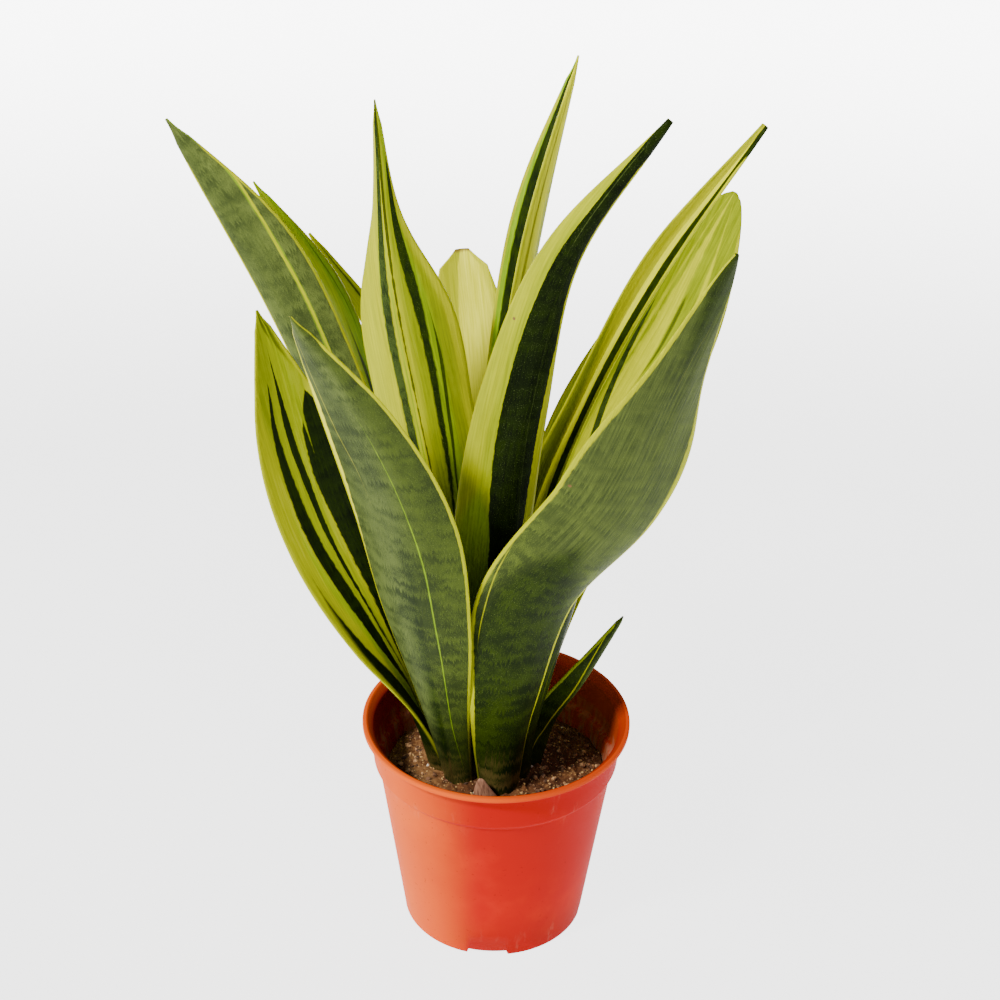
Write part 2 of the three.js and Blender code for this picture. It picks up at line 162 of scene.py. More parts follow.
class Ink:
    """A value, colour or vector inside a material, with the arithmetic that is used on it."""

    def __init__(self, tree, socket=None):
        self.tree = tree
        self.socket = socket

    def node(self, kind, settings=None, inputs=None, output=0):
        """A node of any kind: its settings first, then the values or links of its sockets."""
        made = self.tree.nodes.new(kind)
        for name, value in (settings or {}).items():
            if name == "stops":
                ramp = made.color_ramp
                while len(ramp.elements) < len(value):
                    ramp.elements.new(0.5)
                for element, (position, colour) in zip(ramp.elements, value):
                    element.position = position
                    element.color = (*colour, 1)
            elif name == "points":
                made.mapping.extend = "HORIZONTAL"
                curve = made.mapping.curves[0]
                while len(curve.points) < len(value):
                    curve.points.new(0.5, 0.5)
                for point, place in zip(curve.points, value):
                    point.location = place
                    point.handle_type = "AUTO_CLAMPED"
                made.mapping.update()
            else:
                setattr(made, name, value)
        for name, value in (inputs or {}).items():
            if isinstance(value, Ink):
                self.tree.links.new(value.socket, made.inputs[name])
            else:
                made.inputs[name].default_value = value
        return Ink(self.tree, made.outputs[output])

    def math(self, operation, *values):
        return self.node("ShaderNodeMath", {"operation": operation}, dict(enumerate(values)))

    def vector(self, operation, *values, output=0):
        settings = {"operation": operation}
        return self.node("ShaderNodeVectorMath", settings, dict(enumerate(values)), output)

    def __add__(self, other):
        return self.math("ADD", self, other)

    def __sub__(self, other):
        return self.math("SUBTRACT", self, other)

    def __rsub__(self, other):
        return self.math("SUBTRACT", other, self)

    def __mul__(self, other):
        return self.math("MULTIPLY", self, other)

    def __abs__(self):
        return self.math("ABSOLUTE", self)

    __radd__ = __add__
    __rmul__ = __mul__

    def place(self):
        """Where each point of the surface is, in m."""
        return self.node("ShaderNodeTexCoord", output="Object")

    def mapped(self, label):
        """Where each point of the surface is on one of its maps."""
        return self.node("ShaderNodeUVMap", {"uv_map": label})

    def rise(self, low, high):
        """0 below low, 1 above high, smooth between."""
        return self.node("ShaderNodeMapRange", {"interpolation_type": "SMOOTHSTEP"},
                         {"Value": self, "From Min": low, "From Max": high})

    def mixed(self, mask, under, over):
        """The colour under, with the colour over laid on it where the mask is 1."""
        ends = [tone if isinstance(tone, Ink) else (*tone, 1) for tone in (under, over)]
        settings = {"data_type": "RGBA", "clamp_factor": True}
        return self.node("ShaderNodeMix", settings, {0: mask, 6: ends[0], 7: ends[1]}, 2)

    def mottle(self, place, scale, detail=4.0, rough=0.55):
        """Soft uneven patches, about 0.3 to 0.7."""
        inputs = {"Vector": place, "Scale": scale, "Detail": detail, "Roughness": rough}
        return self.node("ShaderNodeTexNoise", {}, inputs)

    def stretched(self, place, *scale):
        """The place with each direction scaled."""
        return self.node("ShaderNodeMapping", {}, {"Vector": place, "Scale": scale})

    def part(self, place, axis):
        """One coordinate of a place."""
        return self.node("ShaderNodeSeparateXYZ", {}, {"Vector": place}, axis)

    def bump(self, height, strength, distance):
        """The surface tilted by a height. The distance is in mm."""
        inputs = {"Height": height, "Strength": strength, "Distance": distance / 1000}
        return self.node("ShaderNodeBump", {}, inputs)


def finish(name, paint, **constants):
    """A new material. paint(ink) says what varies over the surface, and constants are the rest."""
    material = bpy.data.materials.new(name)
    material.use_nodes = True
    tree = material.node_tree
    shader = tree.nodes["Principled BSDF"]
    for label, value in constants.items():
        shader.inputs[label.replace("_", " ")].default_value = value
    for label, value in paint(Ink(tree)).items():
        tree.links.new(value.socket, shader.inputs[label])
    return material


def paint_pot(ink):
    place = ink.place()
    height = ink.part(place, "Z") * 1000
    from_axis = ink.stretched(ink.vector("SUBTRACT", place, POT_AXIS), 1, 1, 0)
    normal = ink.node("ShaderNodeNewGeometry", output="Normal")
    patches = ink.mottle(place, 24.0, 5.0, 0.6)
    fine = ink.mottle(place, 260.0, 6.0, 0.7)
    drags = ink.mottle(ink.stretched(place, 1, 1, 0.22), 150.0, 5.0, 0.75)
    specks = ink.mottle(place, 520.0, 1.0, 0.5)

    # Rubbed, grimy at its foot, a painted highlight on its lit side, dusty and specked, scuffed where
    # held.
    rubbed = patches.rise(0.50, 0.74) * 0.55 + drags.rise(0.60, 0.74) * 0.30
    tone = ink.mixed(rubbed, POT_ORANGE, POT_RUBBED)
    grime = (1 - height.rise(*FOOT_GRIME)) * patches.rise(0.36, 0.60)
    tone = ink.mixed(grime * 0.5, tone, POT_DEEP)
    facing = ink.vector("DOT_PRODUCT", normal, POT_LIT_SIDE, output="Value")
    # Painted highlight: a paler orange on the side that faces the lamp.
    tone = ink.mixed(facing.rise(0.50, 1.08) * (0.50 + patches * 0.8), tone, POT_HIGHLIGHT)
    tone = ink.mixed(fine.rise(0.74, 0.80) * 0.4, tone, POT_DUST)
    tone = ink.mixed(specks.rise(0.70, 0.76) * 0.4, tone, POT_DEEP)
    handled = height.rise(*HANDLED_COLLAR) + (1 - height.rise(*HANDLED_FOOT)) * 0.7
    scuffs = drags.rise(0.54, 0.68) * patches.rise(0.42, 0.62) * handled
    tone = ink.mixed(scuffs * 0.14, tone, POT_DUST)
    # Painted highlight: the lip's top is paler, most on the side towards the lamp.
    lit_side_of_lip = ink.vector("DOT_PRODUCT", from_axis, POT_LIT_SIDE, output="Value").rise(0, 0.05)
    tone = ink.mixed(height.rise(*LIP_TOP) * (0.45 + lit_side_of_lip * 0.4), tone, POT_HIGHLIGHT)

    # Inside it is in shade, and silted just above the soil and in the band that watering left.
    outward = ink.vector("DOT_PRODUCT", normal, from_axis, output="Value")
    inside = (1 - outward.rise(-0.02, 0)) * height.rise(*FLOOR_TOP)
    tone = ink.mixed(inside * 0.55, tone, POT_DEEP)
    tide_low, tide_high = SILT_TIDE
    soft_low, soft_high = TIDE_SOFT
    below_top = 1 - height.rise(tide_high, tide_high + soft_high)
    tide = height.rise(tide_low - soft_low, tide_low) * below_top
    smeared = 1 - height.rise(SOIL_LINE, SOIL_LINE + SILT_REACH)
    silt = inside * (tide * 0.35 + smeared * 0.8)
    tone = ink.mixed(silt * drags.rise(0.42, 0.60), tone, POT_SILT)
    rough = 0.42 + patches * 0.22 + silt * 0.3
    scratches = ink.bump(fine * 0.6 + drags, 0.12, 0.4)
    return {"Base Color": tone, "Roughness": rough, "Normal": scratches}


pot_plastic = finish("pot_plastic", paint_pot, Specular_IOR_Level=0.02)

pot_points, pot_faces = turned(rounded(POT_PROFILE), POT_SIDES, pot_point)
pot = piece_from("pot_shell", pot_points, pot_faces, pot_plastic)

# The drain holes are punched through the floor between the foot ring and the middle.
drain_points = []
drain_faces = []
for i in range(DRAIN_COUNT):
    bearing = (i + 0.5) * 2 * math.pi / DRAIN_COUNT
    middle = (DRAIN_CIRCLE * math.cos(bearing), DRAIN_CIRCLE * math.sin(bearing))
    first = len(drain_points)
    for height in DRAIN_PUNCH:
        for k in range(DRAIN_SIDES):
            turn = 2 * math.pi * k / DRAIN_SIDES
            drain_points.append(placed(middle[0] + DRAIN_RADIUS * math.cos(turn),
                                       middle[1] + DRAIN_RADIUS * math.sin(turn), height))
    upper = first + DRAIN_SIDES
    drain_faces.append([upper - 1 - k for k in range(DRAIN_SIDES)])
    drain_faces.append([upper + k for k in range(DRAIN_SIDES)])
    for k in range(DRAIN_SIDES):
        k2 = (k + 1) % DRAIN_SIDES
        drain_faces.append((first + k, first + k2, upper + k2, upper + k))
drains = piece_from("drain_punch", drain_points, drain_faces, pot_plastic, smooth=False)
cut = pot.modifiers.new("drains", "BOOLEAN")
cut.operation = "DIFFERENCE"
cut.object = drains
bpy.context.view_layer.update()
pot.data = bpy.data.meshes.new_from_object(pot.evaluated_get(bpy.context.evaluated_depsgraph_get()))
pot.modifiers.clear()
bpy.data.objects.remove(drains)

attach(pot, "root")
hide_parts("pot")


# ------------------------------------------------------------------------------- the soil
#
# Dry sandy potting mix, poured round the roots and watered in, so it is crumbly and heaped a
# little against the stalks, with pale sand grains, chips of bark and a few perlite beads.

SOIL_BOTTOM = 7.3               # mm
SOIL_CROWN = 88.0
SOIL_HEAP = (-3.0, 1.0, 38.0)   # where the heap is, and its radius
UNEVEN_WIDTH = 7.0
UNEVEN_HEIGHT = 1.5
CRUMB_WIDTH = 3.1
CRUMB_HEIGHT = 2.4
SOIL_RIM_RADIUS = 53.8
SOIL_FOOT_RADIUS = 43.4
SOIL_RINGS = 90
SOIL_SIDES = 280
SOIL_DARK = (0.040, 0.013, 0.005)
SOIL_BROWN = (0.090, 0.033, 0.011)
SOIL_SAND = (0.38, 0.20, 0.072)
SOIL_PAINTED_LIGHT = (0.145, 0.070, 0.025)
SOIL_LIT_LEFT = (-0.040, -0.012)  # m, to the left of the stalks, where painted light makes the soil lighter


def soil_height(x, y):
    """How high the soil lies at a place given from the pot's axis. All are in mm."""
    heap_x, heap_y, radius = SOIL_HEAP
    away = math.hypot(x - heap_x, y - heap_y) / radius
    uneven = noise.fractal(Vector((x, y, 3)) / UNEVEN_WIDTH, 0.9, 2.1, 4) * UNEVEN_HEIGHT
    crumbs = max(noise.noise(Vector((x, y, 9)) / CRUMB_WIDTH), 0) * CRUMB_HEIGHT
    return SOIL_LINE + (SOIL_CROWN - SOIL_LINE) * math.exp(-away * away) + uneven + crumbs


def paint_soil(ink):
    place = ink.place()
    patches = ink.mottle(place, 90.0, 6.0, 0.7)
    specks = ink.mottle(place, 700.0, 3.0, 0.6)
    # Painted light: the soil left of the stalks, where the lamp reaches it, is lighter and sandier; dry
    # marks that side.
    dry = 1 - (ink.part(place, "X") - POT_AXIS.x).rise(*SOIL_LIT_LEFT)
    tone = ink.node("ShaderNodeValToRGB",
                    {"stops": [(0.38, SOIL_DARK), (0.54, SOIL_BROWN), (0.74, SOIL_SAND)]},
                    {"Fac": patches * 0.6 + specks * 0.4 + dry * 0.10})
    tone = ink.mixed(dry * patches.rise(0.40, 0.60) * 0.7, tone, SOIL_PAINTED_LIGHT)
    return {"Base Color": tone, "Normal": ink.bump(patches + specks, 0.7, 0.8)}


def soil_point(radius, height, bearing):
    """A point of the soil's surface. It is flat underneath."""
    x = radius * math.cos(bearing)
    y = radius * math.sin(bearing)
    if height > SOIL_BOTTOM:
        height = soil_height(x, y)
    return placed(x, y, height)


soil_mix = finish("soil_mix", paint_soil, Roughness=0.95, Specular_IOR_Level=0.2)
soil_profile = [(0, SOIL_BOTTOM), (SOIL_FOOT_RADIUS, SOIL_BOTTOM)]
for i in range(SOIL_RINGS, -1, -1):
    soil_profile.append((SOIL_RIM_RADIUS * i / SOIL_RINGS, SOIL_LINE))
soil_points, soil_faces = turned(soil_profile, SOIL_SIDES, soil_point)
soil = piece_from("soil_fill", soil_points, soil_faces, soil_mix)
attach(soil, "root")
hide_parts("soil")

# The loose grains lie on the soil. A grain is a lump with twelve corners and twenty sides, which is
# flattened and dented at random.
GRAIN_DENTS = 0.28              # how far in a corner goes at most, as a part of the radius
GRAIN_NARROW = 0.75
GRAIN_TILT = 0.6                # radians at most
GRAIN_LIFT = 0.25               # its middle's height over the soil, as a part of half its own
GRAINS = [  # name, how many, least and greatest radius in mm, flatness, colours
    ("sand_grains", 1500, 0.3, 0.9, 0.8, [(0.13, 0.058, 0.020), (0.54, 0.34, 0.13)]),
    ("bark_chips", 420, 0.7, 2.0, 0.4, [(0.035, 0.014, 0.006), (0.20, 0.090, 0.042)]),
    ("clay_crumbs", 320, 0.7, 2.4, 0.7, [(0.090, 0.036, 0.014), (0.52, 0.29, 0.13)]),
    ("perlite_beads", 26, 0.7, 1.6, 0.85, [(0.48, 0.40, 0.29), (0.66, 0.60, 0.48)]),
]
GOLDEN = (1 + math.sqrt(5)) / 2
LUMP_EDGE = 1.1                 # a little over the distance between neighbouring corners

upright = [Vector((x, y * GOLDEN, 0)).normalized() for x in (-1, 1) for y in (-1, 1)]
lump_corners = [Vector((c[k], c[(k + 1) % 3], c[(k + 2) % 3])) for k in range(3) for c in upright]
lump_faces = []
for i, j, k in itertools.combinations(range(len(lump_corners)), 3):
    a, b, c = lump_corners[i], lump_corners[j], lump_corners[k]
    if max((a - b).length, (b - c).length, (c - a).length) < LUMP_EDGE:
        outward = (b - a).cross(c - a).dot(a + b + c) > 0
        lump_faces.append((i, j, k) if outward else (i, k, j))

grain_draw = random.Random(5)
for name, count, least, greatest, flatness, tones in GRAINS:
    points = []
    faces = []
    for _ in range(count):
        bearing = grain_draw.uniform(0, 2 * math.pi)
        from_axis = (SOIL_RIM_RADIUS - greatest) * math.sqrt(grain_draw.random())
        radius = least + (greatest - least) * grain_draw.random() ** 2
        x = from_axis * math.cos(bearing)
        y = from_axis * math.sin(bearing)
        z = soil_height(x, y) + radius * flatness * GRAIN_LIFT
        turn = Matrix.Rotation(grain_draw.uniform(0, 2 * math.pi), 3, "Z")
        tip_over = Matrix.Rotation(grain_draw.uniform(-GRAIN_TILT, GRAIN_TILT), 3, "X")
        first = len(points)
        for corner in lump_corners:
            dent = 1 - GRAIN_DENTS * grain_draw.random()
            lump = Vector((corner.x, corner.y * GRAIN_NARROW, corner.z * flatness))
            lump = turn @ tip_over @ lump * radius * dent
            points.append(placed(x + lump.x, y + lump.y, z + lump.z))
        faces += [[first + corner for corner in face] for face in lump_faces]

    def paint_grains(ink):
        place = ink.place()
        tone = ink.mixed(ink.mottle(place, 400.0).rise(0.40, 0.60), *tones)
        return {"Base Color": tone, "Normal": ink.bump(ink.mottle(place, 2500.0), 0.5, 0.2)}

    skin = finish(name + "_skin", paint_grains, Roughness=0.9)
    grains = piece_from(name, points, faces, skin, smooth=False)
    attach(grains, "root")


# ------------------------------------------------------------------------------- the rhizome
#
# The thick creeping stem that the leaves grow from, with its roots, buried in the soil.
# It is fleshy and tan, with a dull papery skin.

RHIZOME_TAN = (0.45, 0.26, 0.10)
RHIZOME_BROWN = (0.24, 0.12, 0.05)


def paint_rhizome(ink):
    skin = ink.mottle(ink.place(), 120.0)
    tone = ink.mixed(skin.rise(0.40, 0.60), RHIZOME_BROWN, RHIZOME_TAN)
    return {"Base Color": tone, "Normal": ink.bump(skin, 0.5, 0.5)}


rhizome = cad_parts["rhizome"]
rhizome.data.materials.clear()
rhizome.data.materials.append(finish("rhizome_skin", paint_rhizome, Roughness=0.7))


# ------------------------------------------------------------------------------- the leaves
#
# Stiff fleshy leaves that grow straight up from the rhizome, each rolled into a channel at its
# foot and opening to a flatter blade above. The skin is waxy. It is dark green with paler cross
# bands, and striped lengthwise in yellow where the leaf has no green, with a thin pale margin.

# A leaf's form is the one its solid has. Lengths are in mm and angles in degrees, and every list
# runs evenly from the leaf's foot to its tip.
#   spine: the line that the blade follows, from the foot of the pot's axis
#   half: half its width                    round: how late its round top closes
#   face: the bearing of its open side      cup: how far its margins turn in
#   thick: at the foot and at the tip       keel: 1 bends it evenly, less folds it at the middle
#   wave: its margins' ripple, as a height, how many, and where it starts
#   blunt: its tip isn't drawn out to a point
# Its skin is given by the names of its pigments. Places along and across the blade go from 0 to 1.
#   ground: the pigment under all           margin: a pigment and its width
#   stripes: pigment, strength, softness, and its way up as places along, across and half-width
#   scars: along, across and size           dry_end: where along the blade its dried end begins
LEAVES = {
    "leaf_front_right": {  # broad and dark, in front on the right, seen from its back
        "spine": [(2, -21, 62), (4, -29, 135), (14, -38, 202), (49, -46, 260), (70, -54, 319),
                  (94, -61, 389)],
        "half": [8.5, 14, 20, 25.5, 28, 27, 14, 4], "round": 30,
        "face": [95, 125], "cup": [66, 36, 26, 20, 16, 14], "keel": 1, "thick": [4.2, 1.9],
        "wave": [1.2, 3, 0.1],
        "slot": "leaf_dark", "ground": "moss", "margin": ("yellow", 0.9), "blunt": True,
        "stripes": [
            ("slate", 0.8, 0.40, [(0.40, 0.5, 0), (0.60, 0.5, 0.7), (1, 0.5, 0.9)]),
            ("green", 0.92, 0.30, [
                (0, 0.5, 0.9), (0.24, 0.5, 0.80), (0.40, 0.5, 0.58), (0.56, 0.5, 0)]),
            ("green", 0.5, 0.02, [
                (0.50, 0.60, 0), (0.62, 0.66, 0.010), (0.85, 0.74, 0.008), (0.95, 0.70, 0)]),
            ("green", 0.5, 0.02, [
                (0.55, 0.64, 0), (0.65, 0.61, 0.010), (0.80, 0.62, 0.006), (0.90, 0.60, 0)]),
            ("cream", 0.30, 0.01, [
                (0.76, 0.48, 0), (0.85, 0.44, 0.006), (0.90, 0.32, 0.008), (0.93, 0.20, 0)]),
            ("yellow", 0.8, 0.01, [
                (0.30, 0.90, 0), (0.37, 0.90, 0.010), (0.45, 0.95, 0.010), (0.50, 0.99, 0)]),
            ("yellow", 0.9, 0.02, [
                (0.50, 0, 0), (0.60, 0, 0.05), (0.70, 0, 0.07), (0.80, 0, 0.03), (0.95, 0, 0.02)]),
            ("green", 0.8, 0.40, [(0.78, 0.5, 0), (0.92, 0.5, 0.5), (1, 0.5, 0.9)]),
            ("yellow", 1, 0.02, [
                (0.08, 1, 0), (0.16, 1, 0.07), (0.28, 1, 0.08), (0.36, 1, 0.045), (0.50, 1, 0.030),
                (0.60, 1, 0.035), (0.70, 1, 0.045), (0.80, 1, 0.060), (0.90, 1, 0.075), (0.95, 1, 0.05),
                (0.99, 1, 0.02)]),
        ],
        "scars": [(0.62, 0.925, 1.2)],
    },
    "leaf_front_left": {  # broad and dark, in front on the left, seen from its back
        "spine": [(-16, -12, 62), (-26, -23, 128), (-36, -34, 188), (-45, -44, 247), (-63, -55, 304),
                  (-87, -66, 360)],
        "half": [6, 14, 25, 28, 21, 1.2],
        "face": [62, 58], "cup": [66, 36, 28, 26, 24, 22], "keel": 1, "thick": [4.2, 1.9],
        "wave": [0.6, 2, 0.3],
        "slot": "leaf_dark", "ground": "green", "margin": ("yellow", 0.9),
        "stripes": [
            ("moss", 0.5, 0.10, [(0, 0.2, 0.3), (1, 0.2, 0.3)]),
            # partly its waxy bloom and partly a painted sheen: the paler grey over its lit half
            ("bloom", 0.42, 0.30, [
                (0, 0.85, 0.30), (0.25, 0.85, 0.42), (0.6, 0.80, 0.50), (1, 0.7, 0.6)]),
            ("lime", 0.7, 0.01, [
                (0.06, 0.12, 0), (0.12, 0.22, 0.010), (0.20, 0.30, 0.011), (0.35, 0.31, 0.011),
                (0.50, 0.33, 0.011), (0.62, 0.365, 0.009), (0.75, 0.37, 0.007), (0.9, 0.39, 0)]),
            ("cream", 0.4, 0.02, [
                (0.58, 0.68, 0), (0.70, 0.69, 0.008), (0.80, 0.77, 0.014), (1, 0.82, 0.014)]),
            ("cream", 0.9, 0.02, [
                (0.15, 1, 0), (0.40, 1, 0.02), (0.60, 1, 0.05), (0.72, 1, 0.10), (0.82, 1, 0.12),
                (0.92, 1, 0.05)]),
            ("yellow", 0.9, 0.02, [(0.20, 0, 0), (0.35, 0, 0.03), (0.50, 0, 0.015), (0.9, 0, 0.015)]),
        ],
    },
    "leaf_left_low": {  # striped, leaning left and low
        "spine": [(-25, -1, 62), (-40, -2, 119), (-61, -5, 171), (-82, -8, 224), (-96, -10, 279),
                  (-107, -12, 336)],
        "half": [7.5, 12, 20.5, 21.5, 18.5, 1.2],
        "face": [40, -5, -40, -55, -55, -50], "cup": [66, 40, 34, 30, 28, 26], "keel": 0.8,
        "thick": [4.2, 1.8], "wave": [0.6, 2, 0.6],
        "slot": "leaf_striped", "ground": "yellow", "margin": ("yellow", 0.8),
        "stripes": [
            ("olive", 0.8, 0.10, [
                (0, 0.25, 0.20), (0.3, 0.5, 0.2), (0.75, 0.45, 0.25), (0.9, 0.5, 0.6), (1, 0.5, 0.7)]),
            ("lime", 0.5, 0.06, [
                (0, 0.40, 0.2), (0.25, 0.45, 0.12), (0.55, 0.25, 0.06), (0.7, 0.2, 0)]),
            ("deep", 1, 0.02, [
                (0.24, 0.57, 0.020), (0.30, 0.50, 0.055), (0.40, 0.445, 0.075), (0.50, 0.39, 0.080),
                (0.60, 0.345, 0.080), (0.70, 0.32, 0.070), (0.80, 0.30, 0.050), (0.86, 0.32, 0.030),
                (0.90, 0.32, 0)]),
            ("deep", 1, 0.01, [
                (0.24, 0.62, 0), (0.32, 0.59, 0.012), (0.45, 0.555, 0.020), (0.58, 0.535, 0.032),
                (0.68, 0.52, 0.045), (0.78, 0.49, 0.050), (0.86, 0.50, 0.035), (0.95, 0.49, 0)]),
            ("green", 0.7, 0.01, [
                (0.22, 0.66, 0), (0.30, 0.61, 0.012), (0.40, 0.59, 0.006), (0.48, 0.58, 0)]),
            ("deep", 1, 0.02, [
                (0.20, 0.72, 0.05), (0.30, 0.75, 0.10), (0.50, 0.79, 0.135), (0.60, 0.82, 0.17),
                (0.70, 0.80, 0.19), (0.76, 0.82, 0.19), (0.81, 0.86, 0.13), (0.85, 0.90, 0)]),
            ("green", 0.7, 0.10, [(0.88, 0.95, 0), (0.93, 0.85, 0.10), (1, 0.6, 0.4)]),
            ("olive", 1, 0.02, [(0.72, 0.70, 0), (0.78, 0.71, 0.020), (0.86, 0.74, 0.05)]),
            ("deep", 1, 0.03, [
                (0, 0.5, 0.6), (0.14, 0.4, 0.45), (0.22, 0.22, 0.22), (0.30, 0.19, 0.13),
                (0.40, 0.13, 0.08), (0.48, 0.11, 0.04), (0.57, 0.11, 0)]),
            ("yellow", 0.6, 0.06, [(0.2, 0, 0.10), (0.5, 0, 0.14), (0.8, 0, 0.16), (0.95, 0, 0.1)]),
        ],
    },
    "leaf_left_long": {  # long and dark, leaning furthest left
        "spine": [(-21, 8, 62), (-32, 14, 135), (-50, 21, 204), (-76, 26, 274), (-105, 29, 343),
                  (-148, 32, 406)],
        "half": [7.5, 12, 14, 13.5, 15, 13, 1],
        "face": [40, 65, 80, 90], "cup": [66, 40, 32, 28, 24, 20], "keel": 0.8, "thick": [4.2, 1.8],
        "wave": [0.5, 2, 0],
        "slot": "leaf_striped", "ground": "moss", "margin": ("yellow", 0.6),
        "stripes": [
            ("bloom", 0.35, 0.2, [(0, 0.5, 0.6), (1, 0.5, 0.7)]),
            ("green", 0.25, 0.2, [(0, 0.5, 0.5), (0.5, 0.6, 0.4), (1, 0.7, 0.3)]),
            ("lime", 0.7, 0.03, [
                (0.30, 0.33, 0.03), (0.70, 0.31, 0.045), (0.80, 0.29, 0.045), (0.93, 0, 0.04)]),
            ("yellow", 1, 0.01, [
                (0.15, 0.33, 0), (0.30, 0.33, 0.018), (0.55, 0.32, 0.020), (0.70, 0.305, 0.026),
                (0.78, 0.305, 0.026), (0.84, 0.24, 0.026), (0.88, 0.13, 0.028), (0.905, 0.04, 0.02),
                (0.93, 0, 0)]),
            ("cream", 0.7, 0.02, [(0.2, 1, 0), (0.5, 1, 0.03), (0.7, 1, 0.02), (0.8, 1, 0)]),
        ],
    },
    "leaf_left_behind": {  # narrower, behind the long one
        "spine": [(-17, 19, 62), (-30, 28, 125), (-43, 36, 188), (-61, 43, 250), (-82, 50, 313),
                  (-114, 56, 367)],
        "half": [7, 9.5, 12, 14, 13, 1],
        "face": [10, -20], "cup": [66, 40, 40, 36, 32, 30], "keel": 0.7, "thick": [4.0, 1.8],
        "wave": [0.4, 2, 0.5],
        "slot": "leaf_striped", "ground": "lime", "margin": ("olive", 0.8),
        "stripes": [
            ("lit_yellow", 0.35, 0.20, [(0.3, 0.4, 0), (0.6, 0.4, 0.4), (1, 0.4, 0.5)]),
            ("green", 0.4, 0.05, [(0, 0.5, 0.5), (0.3, 0.4, 0.2), (0.6, 0.35, 0.08), (0.9, 0.4, 0.03)]),
            ("green", 0.9, 0.04, [
                (0.5, 0.80, 0.06), (0.66, 0.77, 0.06), (0.74, 0.72, 0.02), (0.80, 0.70, 0)]),
            ("yellow", 0.7, 0.02, [
                (0.5, 0.90, 0.01), (0.72, 0.86, 0.012), (0.79, 0.78, 0.014), (0.86, 0.75, 0.016),
                (0.93, 0.84, 0.016), (0.97, 0.92, 0.01)]),
            ("green", 0.6, 0.03, [
                (0.65, 0.92, 0), (0.75, 0.90, 0.02), (0.84, 0.86, 0.03), (0.92, 0.92, 0.02),
                (1, 0.95, 0)]),
            ("green", 0.5, 0.02, [(0.1, 0.1, 0.03), (0.7, 0.12, 0.03), (0.9, 0.2, 0.02)]),
        ],
    },
    "leaf_left_back": {  # narrow and yellow, behind both
        "spine": [(-7, 31, 62), (-11, 42, 116), (-18, 55, 169), (-35, 64, 224), (-56, 74, 278),
                  (-92, 85, 329)],
        "half": [7, 10, 13, 12, 6.5, 1],
        "face": [-60, -60], "cup": [60, 40, 34, 30, 26, 24], "keel": 0.8, "thick": [4.0, 1.8],
        "wave": [0.4, 2, 0.2],
        "slot": "leaf_yellow", "ground": "yellow", "margin": ("yellow", 0.8),
        "stripes": [
            ("olive", 0.8, 0.06, [(0, 0.4, 0.5), (0.4, 0.6, 0.3), (0.8, 0.75, 0.25), (1, 0.8, 0.2)]),
            ("green", 0.8, 0.04, [
                (0, 0.5, 0.4), (0.3, 0.45, 0.1), (0.7, 0.6, 0.05), (0.9, 0.75, 0.08), (1, 0.8, 0)]),
        ],
    },
    "leaf_tall_left": {  # tall, yellow and green, left of the middle
        "spine": [(-9, -1, 62), (-15, -2, 142), (-24, -2, 215), (-37, 1, 285), (-50, 5, 355),
                  (-56, 10, 425)],
        "half": [8, 13, 19, 23.5, 24.5, 24.5, 7.5, 0.9],
        "face": [90, 80], "cup": [66, 40, 38, 40, 50, 60], "keel": 0.5, "thick": [4.2, 1.8],
        "wave": [0.4, 2, 0.4],
        "slot": "leaf_yellow", "ground": "yellow", "margin": ("yellow", 0.8),
        "stripes": [
            ("olive", 0.9, 0.10, [
                (0, 0.4, 0.5), (0.45, 0.3, 0.25), (0.75, 0.28, 0.22), (0.92, 0.32, 0.18),
                (1, 0.3, 0.2)]),
            ("lime", 0.6, 0.06, [
                (0.3, 0.3, 0.12), (0.55, 0.28, 0.09), (0.75, 0.26, 0.08), (0.9, 0.2, 0.1)]),
            ("lit_yellow", 0.6, 0.05, [(0.3, 0.03, 0.06), (0.7, 0.05, 0.07), (0.9, 0.05, 0.05)]),
            ("lime", 0.7, 0.06, [
                (0.2, 0.6, 0.08), (0.6, 0.61, 0.06), (0.85, 0.64, 0.06), (0.95, 0.6, 0)]),
            ("grey", 1, 0.02, [
                (0.2, 0.58, 0.05), (0.60, 0.625, 0.050), (0.76, 0.61, 0.060), (0.86, 0.60, 0.075),
                (0.95, 0.56, 0.08), (1, 0.55, 0.1)]),
            ("lime", 0.8, 0.01, [
                (0.2, 0.55, 0.01), (0.6, 0.548, 0.010), (0.78, 0.535, 0.010), (0.9, 0.55, 0)]),
            ("green", 0.9, 0.01, [
                (0.2, 0.51, 0.012), (0.60, 0.515, 0.012), (0.75, 0.50, 0.014), (0.84, 0.48, 0.030),
                (0.95, 0.46, 0.045), (1, 0.45, 0.05)]),
            ("green", 1, 0.02, [
                (0.2, 0.44, 0.03), (0.42, 0.40, 0.018), (0.50, 0.36, 0.030), (0.60, 0.335, 0.040),
                (0.70, 0.33, 0.046), (0.78, 0.305, 0.072), (0.84, 0.26, 0.088), (0.90, 0.18, 0.085),
                (0.95, 0.1, 0)]),
            ("green", 0.9, 0.01, [
                (0.2, 0.32, 0.02), (0.45, 0.32, 0.012), (0.55, 0.27, 0.020), (0.64, 0.24, 0.022),
                (0.70, 0.235, 0.010), (0.75, 0.23, 0)]),
        ],
    },
    "leaf_back_short": {  # pale yellow, at the back, its top cut and browned
        "spine": [(-2, 22, 62), (-7, 30, 117), (-10, 42, 169), (-11, 56, 221), (-14, 70, 272),
                  (-20, 84, 323)],
        "half": [7, 11, 15, 19, 22, 9.5],
        "face": [-90, -90], "cup": [60, 40, 30, 28, 26, 24], "keel": 0.6, "thick": [4.0, 1.8],
        "wave": [0.4, 2, 0.7],
        "slot": "leaf_yellow", "ground": "cream", "margin": ("yellow", 0.8),
        "stripes": [
